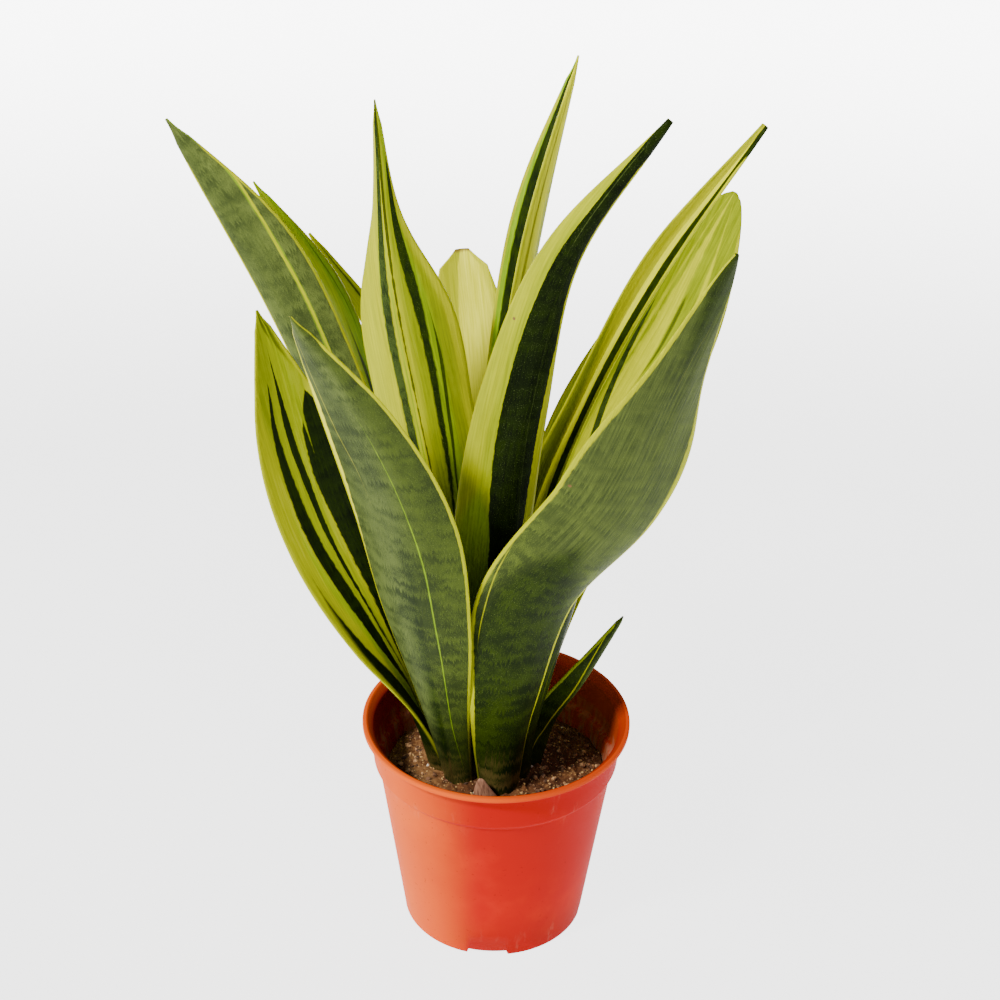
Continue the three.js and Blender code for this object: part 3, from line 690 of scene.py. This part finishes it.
            ("yellow", 0.9, 0.03, [(0, 0.2, 0.4), (0.5, 0.18, 0.2), (1, 0.18, 0.2)]),
            ("yellow", 0.6, 0.08, [(0, 0.9, 0.3), (0.7, 0.95, 0.15), (1, 0.95, 0.12)]),
            ("lime", 0.5, 0.02, [(0.3, 0.5, 0.03), (0.7, 0.58, 0.02), (0.8, 0.60, 0)]),
            ("olive", 0.4, 0.02, [(0.5, 0.62, 0.01), (1, 0.66, 0.01)]),
            ("olive", 0.4, 0.02, [(0.5, 0.74, 0.01), (1, 0.80, 0.01)]),
        ],
        "dry_end": 0.992,
    },
    "leaf_tall_middle": {  # the tallest, folded, green on one side and yellow on the other
        "spine": [(2, 12, 62), (-1, 20, 131), (0, 27, 206), (5, 27, 285), (16, 24, 364), (30, 21, 442)],
        "half": [8, 13, 19, 17.5, 17, 0.9],
        "face": [185, 190], "cup": [66, 52, 52, 52, 56, 60], "keel": 0.5, "thick": [4.2, 1.8],
        "wave": [0.4, 2, 0.1],
        "slot": "leaf_striped", "ground": "lit_yellow", "margin": ("yellow", 1.0),
        "stripes": [
            ("lime", 1, 0.05, [(0, 0.1, 0.3), (0.5, 0.08, 0.16), (1, 0.08, 0.2)]),
            ("green", 1, 0.03, [
                (0, 0.25, 0.25), (0.5, 0.21, 0.13), (0.8, 0.21, 0.12), (1, 0.20, 0.12)]),
            ("olive", 0.8, 0.05, [
                (0, 0.6, 0.3), (0.5, 0.62, 0.10), (0.8, 0.62, 0.08), (1, 0.62, 0.05)]),
            ("green", 0.65, 0.03, [
                (0.4, 0.88, 0.035), (0.7, 0.87, 0.040), (0.9, 0.86, 0.03), (1, 0.85, 0.02)]),
            ("green", 0.5, 0.05, [(0, 0.5, 0.3), (0.4, 0.5, 0.1), (0.75, 0.5, 0.06), (1, 0.5, 0.03)]),
        ],
    },
    "leaf_curved": {  # long, in the middle, curving over to the right
        "spine": [(-3, -11, 62), (-6, -15, 144), (-4, -20, 221), (4, -25, 297), (23, -30, 371),
                  (66, -36, 436)],
        "half": [8, 16, 19, 17, 9.5, 1.2],
        "face": [100, 70], "cup": [66, 46, 42, 42, 46, 50], "keel": 0.8, "thick": [4.2, 1.9],
        "wave": [0.4, 2, 0.8],
        "slot": "leaf_striped", "ground": "yellow", "margin": ("yellow", 0.9), "blunt": True,
        "stripes": [
            ("olive", 0.35, 0.30, [(0, 0.8, 0.6), (1, 0.8, 0.6)]),
            ("olive", 0.6, 0.08, [
                (0, 0.6, 0.3), (0.45, 0.62, 0.14), (0.75, 0.62, 0.12), (0.9, 0.65, 0.06)]),
            ("lime", 0.7, 0.20, [(0, 0.7, 0.5), (0.38, 0.7, 0.4), (0.50, 0.7, 0)]),
            ("deep", 1, 0.01, [
                (0, 0.3, 0.2), (0.40, 0.33, 0.190), (0.45, 0.34, 0.215), (0.50, 0.345, 0.235),
                (0.60, 0.350, 0.260), (0.65, 0.34, 0.270), (0.70, 0.31, 0.290), (0.78, 0.26, 0.320),
                (0.86, 0.26, 0.310), (0.92, 0.31, 0.340), (0.97, 0.40, 0.46), (1, 0.5, 0.6)]),
            ("moss", 0.8, 0.01, [
                (0.80, 0.40, 0), (0.84, 0.42, 0.012), (0.89, 0.47, 0.016), (0.94, 0.57, 0.016),
                (0.98, 0.66, 0)]),
            ("moss", 0.5, 0.02, [
                (0.40, 0.20, 0.01), (0.60, 0.24, 0.010), (0.75, 0.20, 0.01), (0.9, 0.2, 0)]),
        ],
        "scars": [(0.71, 0.81, 1.0)],
    },
    "leaf_right_upper": {  # narrow and yellow, folded lengthwise, leaning right
        "spine": [(7, 6, 62), (9, 12, 139), (14, 17, 211), (38, 21, 281), (70, 25, 348), (112, 29, 409)],
        "half": [8, 11, 14, 9, 9, 1.8],
        "face": [-100, -110], "cup": [66, 70, 70, 68, 62, 60], "keel": 0.35, "thick": [4.2, 1.9],
        "wave": [0.4, 2, 0.2],
        "slot": "leaf_yellow", "ground": "lit_yellow", "margin": ("yellow", 0.7), "blunt": True,
        "stripes": [
            # painted shade: the olive over the lower part of the near side
            ("olive", 0.9, 0.15, [(0, 0.4, 0.5), (0.35, 0.3, 0.4), (0.60, 0.1, 0.3), (0.75, 0, 0.1)]),
            # painted highlight: the peach strip where the fold turns to the lamp
            ("peach_highlight", 0.7, 0.02, [
                (0.25, 0.92, 0.02), (0.40, 0.88, 0.05), (0.52, 0.90, 0.04), (0.66, 0.93, 0)]),
            ("green", 1, 0.03, [
                (0.28, 1, 0.06), (0.40, 1, 0.22), (0.60, 1, 0.29), (0.78, 1, 0.31), (0.88, 1, 0.27),
                (0.95, 0.96, 0.24), (1, 0.90, 0.30)]),
        ],
    },
    "leaf_right_back": {  # broad and yellow with a round top, behind the front right leaf
        "spine": [(12, 17, 62), (16, 25, 129), (28, 37, 187), (51, 50, 244), (80, 63, 299),
                  (106, 77, 357)],
        "half": [8, 15, 23, 28, 24, 12], "round": 14,
        "face": [-110, -110], "cup": [60, 36, 26, 22, 20, 18], "keel": 0.8, "thick": [4.0, 1.8],
        "wave": [0.6, 2, 0.5],
        "slot": "leaf_yellow", "ground": "olive", "margin": ("yellow", 1.0), "blunt": True,
        "stripes": [
            ("lit_yellow", 0.7, 0.03, [
                (0.3, 0.5, 0.2), (0.7, 0.42, 0.10), (0.85, 0.42, 0.08), (1, 0.45, 0.03)]),
            ("lit_yellow", 0.6, 0.03, [(0.5, 0.32, 0.02), (0.75, 0.30, 0.03), (1, 0.30, 0.02)]),
            ("lit_yellow", 0.7, 0.03, [(0.6, 0.7, 0.03), (0.8, 0.68, 0.05), (0.95, 0.65, 0.02)]),
            ("grey", 1, 0.01, [
                (0.42, 0.47, 0.016), (0.52, 0.43, 0.026), (0.58, 0.40, 0.030), (0.65, 0.34, 0.028),
                (0.75, 0.265, 0.024), (0.84, 0.225, 0)]),
            ("grey", 0.8, 0.02, [
                (0.60, 0.44, 0.008), (0.70, 0.50, 0.012), (0.76, 0.525, 0.024), (0.81, 0.52, 0.028),
                (0.85, 0.51, 0)]),
        ],
    },
    "leaf_right_dark": {  # dark, mostly hidden between the front right leaf and the pup
        "spine": [(13, -9, 62), (13, -13, 106), (19, -15, 143), (28, -18, 181), (37, -20, 218),
                  (47, -22, 255)],
        "half": [7, 10, 12, 11, 7, 1],
        "face": [120, 120], "cup": [60, 50, 40, 40, 40, 40], "keel": 0.8, "thick": [3.6, 1.6],
        "wave": [0.3, 2, 0.5],
        "slot": "leaf_dark", "ground": "green", "margin": ("yellow", 0.7),
        "stripes": [
            ("olive", 0.5, 0.03, [(0.2, 0.25, 0), (0.4, 0.28, 0.02), (0.5, 0.2, 0.02), (0.6, 0.1, 0)]),
        ],
    },
    "leaf_pup": {  # short and young, low on the right
        "spine": [(17, 1, 62), (22, 0, 91), (28, -1, 113), (40, -2, 134), (50, -3, 155), (59, -4, 175)],
        "half": [6, 9, 12, 11, 6, 0.9],
        "face": [150, 150], "cup": [60, 60, 60, 60, 60, 60], "keel": 0.4, "thick": [3.4, 1.6],
        "wave": [0.2, 2, 0.3],
        "slot": "leaf_dark", "ground": "green", "margin": ("olive", 0.7),
        "stripes": [
            ("yellow", 0.8, 0.02, [
                (0.10, 0.90, 0), (0.27, 0.78, 0.018), (0.38, 0.64, 0.022), (0.50, 0.60, 0.026),
                (0.60, 0.63, 0.026), (0.70, 0.69, 0.026), (0.80, 0.78, 0.030), (0.92, 0.96, 0.02)]),
            ("moss", 0.5, 0.10, [(0.3, 0.4, 0.1), (0.9, 0.5, 0.2)]),
        ],
    },
}
LEAF_STATIONS = 130
LEAF_HALF_RIBS = 14
TIP_HALF = 0.9                  # mm
TIP_TAPER = 0.03                # the last part of the blade, which comes to a point
TIP_SHARP = 0.3                 # what is left there of the width and the thickness
MARGIN_THICKNESS = 1.0          # mm
MARGIN_ROUND = 0.4              # mm, how far the margin's round edge stands out
SLOPE_STEP = 0.005              # along the blade, for finding which way it goes
RIDGE_RELIEF = 0.25             # mm, soft lengthwise ridges of the blade
RIDGE_WIDTH = 5.0
RIDGE_LENGTH = 70.0


def smooth_along(values, t):
    """The values on one smooth curve, evenly spaced from 0 to 1."""
    spans = len(values) - 1
    i = min(int(t * spans), spans - 1)
    s = t * spans - i
    a, b = values[i], values[i + 1]
    before = values[i - 1] if i > 0 else a * 2 - b
    after = values[i + 2] if i + 2 <= spans else b * 2 - a
    slope_a = (b - before) * 0.5
    slope_b = (after - a) * 0.5
    return (a * (2 * s ** 3 - 3 * s ** 2 + 1) + b * (3 * s ** 2 - 2 * s ** 3)
            + slope_a * (s ** 3 - 2 * s ** 2 + s) + slope_b * (s ** 3 - s ** 2))


def blade(name, leaf, material, stations=LEAF_STATIONS, half_ribs=LEAF_HALF_RIBS):
    """A closed leaf. Its map "blade" runs across and along it from 0 to 1, "ruler" is the same in
    mm, "edge" is the distance in mm from either margin, and "side" is 0 in the channel, 1 outside."""
    spine = [Vector(place) for place in leaf["spine"]]
    foot_thick, tip_thick = leaf["thick"]
    wave_height, wave_count, wave_start = leaf["wave"]
    corners = []
    length = 0
    last_centre = spine[0]
    for s in range(stations + 1):
        t = s / stations
        centre = smooth_along(spine, t)
        length += (centre - last_centre).length
        last_centre = centre
        before = smooth_along(spine, max(t - SLOPE_STEP, 0))
        after = smooth_along(spine, min(t + SLOPE_STEP, 1))
        ahead = (after - before).normalized()
        bearing = math.radians(smooth_along(leaf["face"], t))
        opening = Vector((math.cos(bearing), math.sin(bearing), 0))
        opening = (opening - ahead * opening.dot(ahead)).normalized()
        sideways = ahead.cross(opening)
        tip = 1 if "blunt" in leaf else min((1 - t) / TIP_TAPER, 1)
        drawn_out = TIP_SHARP + (1 - TIP_SHARP) * tip
        half = max(smooth_along(leaf["half"], t), TIP_HALF) * drawn_out
        if "round" in leaf:
            half = max(half * math.sqrt(1 - t ** leaf["round"]), TIP_HALF)
        middle_thick = foot_thick + (tip_thick - foot_thick) * t

        # Where each rib lies from the middle rib out: to the side, and deep into the channel.
        cup = math.radians(smooth_along(leaf["cup"], t))
        side = 0
        deep = 0
        ribs = [(side, deep)]
        for r in range(half_ribs):
            turn = cup * ((r + 0.5) / half_ribs) ** leaf["keel"]
            side += half / half_ribs * math.cos(turn)
            deep += half / half_ribs * math.sin(turn)
            ribs.append((side, deep))

        inner = []
        outer = []
        margins = []
        for r in range(-half_ribs, half_ribs + 1):
            hand = (r > 0) - (r < 0)    # -1 on one side of the middle rib, 1 on the other
            side, deep = ribs[abs(r)]
            u = abs(r) / half_ribs
            turn = cup * u ** leaf["keel"]
            normal = opening * math.cos(turn) - sideways * hand * math.sin(turn)
            ripple = 2 * math.pi * (wave_count * t + wave_start + 0.25 * hand)
            lift = wave_height * u ** 3 * math.sin(math.pi * t) * math.sin(ripple)
            ridge = Vector((hand * u * half / RIDGE_WIDTH, length / RIDGE_LENGTH, spine[0].x))
            lift += RIDGE_RELIEF * noise.noise(ridge)
            point = centre + sideways * hand * side + opening * deep + normal * lift
            thick = MARGIN_THICKNESS + (middle_thick - MARGIN_THICKNESS) * (1 - u * u)
            thick *= drawn_out
            mark = (0.5 + hand * u / 2, t, hand * u * half, length,
                    half * (1 + hand * u), half * (1 - hand * u))
            inner.append((point + normal * thick / 2, (*mark, 0)))
            outer.append((point - normal * thick / 2, (*mark, 1)))
            if u == 1:
                outward = sideways * hand * math.cos(turn) + opening * math.sin(turn)
                margins.append((point + outward * MARGIN_ROUND, (*mark, 0.5)))
        first_margin, last_margin = margins
        corners += [first_margin, *inner, last_margin, *outer[::-1]]

    # Faces join each station's corners to the next one's, and a ladder of them closes either end.
    rib_count = 2 * half_ribs + 1
    round_count = 2 * rib_count + 2
    faces = []
    for s in range(stations):
        a = s * round_count
        b = a + round_count
        for k in range(round_count):
            k2 = (k + 1) % round_count
            faces.append((a + k, b + k, b + k2, a + k2))
    for start, flip in ((0, False), (stations * round_count, True)):
        last = start + round_count - 1
        ladder = [(start + 1 + k, start + 2 + k, last - 1 - k, last - k) for k in range(rib_count - 1)]
        ladder.append((start, start + 1, last))
        ladder.append((start + rib_count, start + rib_count + 1, start + rib_count + 2))
        faces += [face[::-1] for face in ladder] if flip else ladder
    piece = piece_from(name, [placed(*point) for point, _ in corners], faces, material)
    for label, across, along in (("blade", 0, 1), ("ruler", 2, 3), ("edge", 4, 5), ("side", 6, 6)):
        layer = piece.data.uv_layers.new(name=label)
        for loop in piece.data.loops:
            _, mark = corners[loop.vertex_index]
            layer.data[loop.index].uv = (mark[across], mark[along])
    return piece


PIGMENTS = {  # a deep and a pale tone, and how far cross bands rather than fibres part them
    "green": ((0.005, 0.011, 0.002), (0.022, 0.041, 0.002), 0.8),
    "deep": ((0.002, 0.004, 0.001), (0.012, 0.024, 0.001), 0.6),
    "moss": ((0.034, 0.050, 0.012), (0.100, 0.138, 0.022), 0.9),
    "slate": ((0.030, 0.044, 0.011), (0.098, 0.132, 0.026), 0.3),
    "bloom": ((0.040, 0.060, 0.018), (0.185, 0.235, 0.070), 0.8),
    "grey": ((0.008, 0.018, 0.003), (0.050, 0.080, 0.012), 0.9),
    "lime": ((0.150, 0.280, 0.001), (0.280, 0.450, 0.003), 0.2),
    "olive": ((0.160, 0.210, 0.0002), (0.290, 0.350, 0.0002), 0.2),
    "yellow": ((0.320, 0.350, 0.0002), (0.460, 0.480, 0.0005), 0.1),
    # a lit copy of the yellow: painted light on leaves that stand in shade
    "lit_yellow": ((0.460, 0.480, 0.0005), (0.660, 0.660, 0.001), 0.1),
    # a painted highlight where a fold turns to the lamp
    "peach_highlight": ((0.480, 0.280, 0.020), (0.650, 0.420, 0.050), 0.1),
    "cream": ((0.620, 0.610, 0.010), (0.850, 0.830, 0.070), 0.1),
    "dry": ((0.080, 0.040, 0.012), (0.220, 0.130, 0.050), 0.5),
}
STRIPE_JAG = 0.05               # how far cross bands push a stripe's edge, across the blade
THIN_STRIPE_JAG = 0.7           # the same at most, as a part of a thin stripe's half-width
STRIPE_END = 0.004              # the half-width, across the blade, at which a stripe fades out
MARGIN_JAG = 1.2                # mm
MARGIN_SOFT = 0.4               # mm
MARGIN_END = (0.93, 0.99)       # along the blade, where the pale margin runs out
FIBRES = (1.1, 0.030, 1)        # how fine each marking is, across and along the blade
BARS = (0.070, 0.22, 1)
FLECKS = (2.0, 2.6, 1)
CLOUDS = (0.045, 0.020, 1)
BAR_JAG = 16.0                  # mm, how far the fibres draw out a cross band along the blade
BAR_EDGE = (0.39, 0.61)         # how sharply a cross band ends
BAR_WEAR = (0.35, 0.90)         # along the blade, where the cross bands grow softer
FOOT_SHADE = (0.07, 0.22)       # along the blade, where it darkens towards the soil
SOIL_SPLASH = (0.06, 0.15)      # along the blade, where the soil has splashed it
DRY_EDGE = 0.006                # along the blade, how soon its dried end turns brown


def paint_leaf(leaf, seed):
    """The skin of one leaf: its ground, its stripes, its margin, and what age has done to it."""
    length = sum((Vector(a) - Vector(b)).length for a, b in zip(leaf["spine"], leaf["spine"][1:]))

    def paint(ink):
        blade_map = ink.mapped("blade")
        across = ink.part(blade_map, "X")
        along = ink.part(blade_map, "Y")
        ruler = ink.vector("ADD", ink.mapped("ruler"), (seed * 61, seed * 37, 0))
        edge = ink.mapped("edge")
        from_margin = ink.math("MINIMUM", ink.part(edge, "X"), ink.part(edge, "Y"))
        outside = ink.part(ink.mapped("side"), "X")

        # Fibres run along the blade, and they draw out the ends of the bars that cross it.
        fibres = ink.mottle(ink.stretched(ruler, *FIBRES), 1.0, 5.0, 0.65)
        drawn = ink.node("ShaderNodeCombineXYZ", {}, {"Y": (fibres - 0.5) * BAR_JAG})
        bars = ink.mottle(ink.stretched(ink.vector("ADD", ruler, drawn), *BARS), 1.0, 6.0, 0.66)
        flecks = ink.mottle(ink.stretched(ruler, *FLECKS), 1.0, 2.0, 0.5)
        clouds = ink.mottle(ink.stretched(ruler, *CLOUDS), 1.0, 3.0, 0.5)
        worn = along.rise(*BAR_WEAR) * 0.10
        uneven = bars + (flecks - 0.5) * 0.45 + (clouds - 0.5) * 0.5
        bands = uneven.rise(BAR_EDGE[0] - worn, BAR_EDGE[1] + worn)
        strands = fibres.rise(0.34, 0.66)
        tones = {}

        def pigment(name):
            if name not in tones:
                deep, pale, barred = PIGMENTS[name]
                tones[name] = ink.mixed(bands * barred + strands * (1 - barred), deep, pale)
            return tones[name]

        def curve(stops):
            return ink.node("ShaderNodeFloatCurve", {"points": stops}, {"Value": along})

        # The ground, the stripes over it, and the pale margin.
        tone = pigment(leaf["ground"])
        for name, strength, blur, way in leaf["stripes"]:
            jag = min(STRIPE_JAG, max(h for _, _, h in way) * THIN_STRIPE_JAG)
            middle = curve([(t, v) for t, v, _ in way])
            half = curve([(t, h) for t, _, h in way])
            within = half + (bars - 0.5) * jag - abs(across - middle)
            mask = within.rise(0, blur) * half.rise(0, STRIPE_END)
            tone = ink.mixed(mask * strength, tone, pigment(name))
        name, width = leaf["margin"]
        ragged = from_margin + (bars - 0.5) * MARGIN_JAG + along.rise(*MARGIN_END) * width * 3
        tone = ink.mixed(1 - ragged.rise(width, width + MARGIN_SOFT), tone, pigment(name))

        # A waxy bloom on the back, a dark foot splashed with soil, scars, and a dried end.
        tone = ink.mixed(outside * flecks.rise(0.64, 0.70) * 0.55, tone, pigment("bloom"))
        tone = ink.mixed((1 - along.rise(*FOOT_SHADE)) * 0.8, tone, pigment("green"))
        splashed = (1 - (along + (fibres - 0.5) * 0.2).rise(*SOIL_SPLASH)) * bars.rise(0.40, 0.60)
        tone = ink.mixed(splashed * 0.6, tone, pigment("dry"))
        for t, v, size in leaf.get("scars", []):
            wide = 2 * smooth_along(leaf["half"], t)
            away = ink.stretched(ink.vector("SUBTRACT", blade_map, (v, t, 0)), wide, length, 0)
            reach = ink.vector("LENGTH", away, output="Value")
            tone = ink.mixed(1 - reach.rise(size * 0.5, size), tone, pigment("dry"))
        if "dry_end" in leaf:
            dried = (along + (bars - 0.5) * 0.02).rise(leaf["dry_end"], leaf["dry_end"] + DRY_EDGE)
            tone = ink.mixed(dried * 0.85, tone, pigment("dry"))
        rough = 0.36 + fibres * 0.16 + outside * bands * 0.06
        grain = ink.bump(fibres + bars * 0.4, 0.30, 0.5)
        return {"Base Color": tone, "Roughness": rough, "Normal": grain}

    return paint


for seed, (name, leaf) in enumerate(LEAVES.items()):
    skin = finish(name + "_skin", paint_leaf(leaf, seed), Specular_IOR_Level=0.03)
    piece = blade(name + "_blade", leaf, skin)
    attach(piece, "root")
    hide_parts(name)


# ------------------------------------------------------------------------------- the dry sheath
#
# A small dried bract left at the foot of the front leaves: papery, pinkish brown, curled.

SHEATH = {
    "spine": [(-4, -26, 62), (-4, -27, 69), (-5, -28, 76), (-5, -29, 83), (-6, -30, 90),
              (-7, -30, 98)],
    "half": [5, 6, 7, 6.8, 4.5, 0.9],
    "face": [85, 75], "cup": [50, 50, 45, 40, 35, 30], "keel": 1, "thick": [1.3, 1.0],
    "wave": [0.3, 1, 0.2],
}
SHEATH_STATIONS = 30
SHEATH_HALF_RIBS = 6
SHEATH_PINK = (0.36, 0.17, 0.10)
SHEATH_BROWN = (0.15, 0.060, 0.030)


def paint_sheath(ink):
    streaks = ink.mottle(ink.stretched(ink.mapped("ruler"), 1, 0.12, 1), 1.2)
    tone = ink.mixed(streaks.rise(0.35, 0.60), SHEATH_BROWN, SHEATH_PINK)
    return {"Base Color": tone, "Normal": ink.bump(streaks, 0.6, 0.5)}


sheath_skin = finish("dry_sheath_skin", paint_sheath, Roughness=0.8)
sheath = blade("dry_sheath_blade", SHEATH, sheath_skin, SHEATH_STATIONS, SHEATH_HALF_RIBS)
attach(sheath, "root")
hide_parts("dry_sheath")


# ------------------------------------------------------------------------------- floor, lights, camera
#
# The plant stands on a wide sheet that glows by itself, dimmest in front and brightest far behind,
# so that it shows almost no shadow and also lights the plant. One hard warm lamp stands to the left
# in front, and the camera looks down on the plant.

FLOOR_HALF = 6.0                # m
FLOOR_GREY = (0.12, 0.12, 0.12, 1)
GLOW_STRENGTH = 3.4
GLOW_FRONT = (0.36, 0.36, 0.36)
GLOW_UNDER = (1.0, 1.0, 1.0)
GLOW_FAR = (2.4, 2.4, 2.4)
UNDER_REACH = (-0.70, -0.05)    # m, from in front of the plant to behind it
FAR_REACH = (0.40, 1.40)        # m, behind the plant
SKY_TINT = (0.95, 0.97, 1, 1)
SKY_STRENGTH = 0.35
LAMP_AIM = Vector((0, 0, 0.2))
LAMPS = [  # name, place in m, size in m, power in W, tint
    ("key", (-1.1, -1.1, 1.85), 0.3, 95, (1.0, 0.96, 0.88)),
    ("fill", (1.6, -1.4, 1.0), 1.2, 5, (0.9, 0.95, 1.0)),
]
CAMERA_PLACE = (0, -930.4, 789.0)  # mm from the foot of the pot's axis
CAMERA_PITCH = 30.754           # degrees below level
CAMERA_ROLL = 1.0
LENS_MM = 84.8
SENSOR_MM = 36


def paint_floor(ink):
    place = ink.place()
    under = ink.part(place, "Y").rise(*UNDER_REACH) * (0.8 + ink.mottle(place, 1.6) * 0.4)
    glow = ink.mixed(under, GLOW_FRONT, GLOW_UNDER)
    glow = ink.mixed(ink.part(place, "Y").rise(*FAR_REACH), glow, GLOW_FAR)
    return {"Emission Color": glow}


floor_paper = finish("floor_paper", paint_floor, Base_Color=FLOOR_GREY, Roughness=0.8,
                     Emission_Strength=GLOW_STRENGTH)
floor_corners = [(-FLOOR_HALF, -FLOOR_HALF, 0), (FLOOR_HALF, -FLOOR_HALF, 0),
                 (FLOOR_HALF, FLOOR_HALF, 0), (-FLOOR_HALF, FLOOR_HALF, 0)]
floor = piece_from("floor", floor_corners, [(0, 1, 2, 3)], floor_paper)

sky = bpy.data.worlds.new("studio")
sky.use_nodes = True
sky.node_tree.nodes["Background"].inputs["Color"].default_value = SKY_TINT
sky.node_tree.nodes["Background"].inputs["Strength"].default_value = SKY_STRENGTH
bpy.context.scene.world = sky

for name, place, size, power, tint in LAMPS:
    light = bpy.data.lights.new(name, "AREA")
    light.size = size
    light.energy = power
    light.color = tint
    lamp = bpy.data.objects.new(name, light)
    lamp.location = place
    lamp.rotation_euler = (LAMP_AIM - Vector(place)).to_track_quat("-Z", "Y").to_euler()
    bpy.context.scene.collection.objects.link(lamp)

camera_data = bpy.data.cameras.new("camera")
camera_data.lens = LENS_MM
camera_data.sensor_width = SENSOR_MM
camera = bpy.data.objects.new("camera", camera_data)
camera.location = placed(*CAMERA_PLACE)
camera.rotation_euler = (Matrix.Rotation(math.radians(90 - CAMERA_PITCH), 3, "X")
                         @ Matrix.Rotation(math.radians(CAMERA_ROLL), 3, "Z")).to_euler()
bpy.context.scene.collection.objects.link(camera)
bpy.context.scene.camera = camera
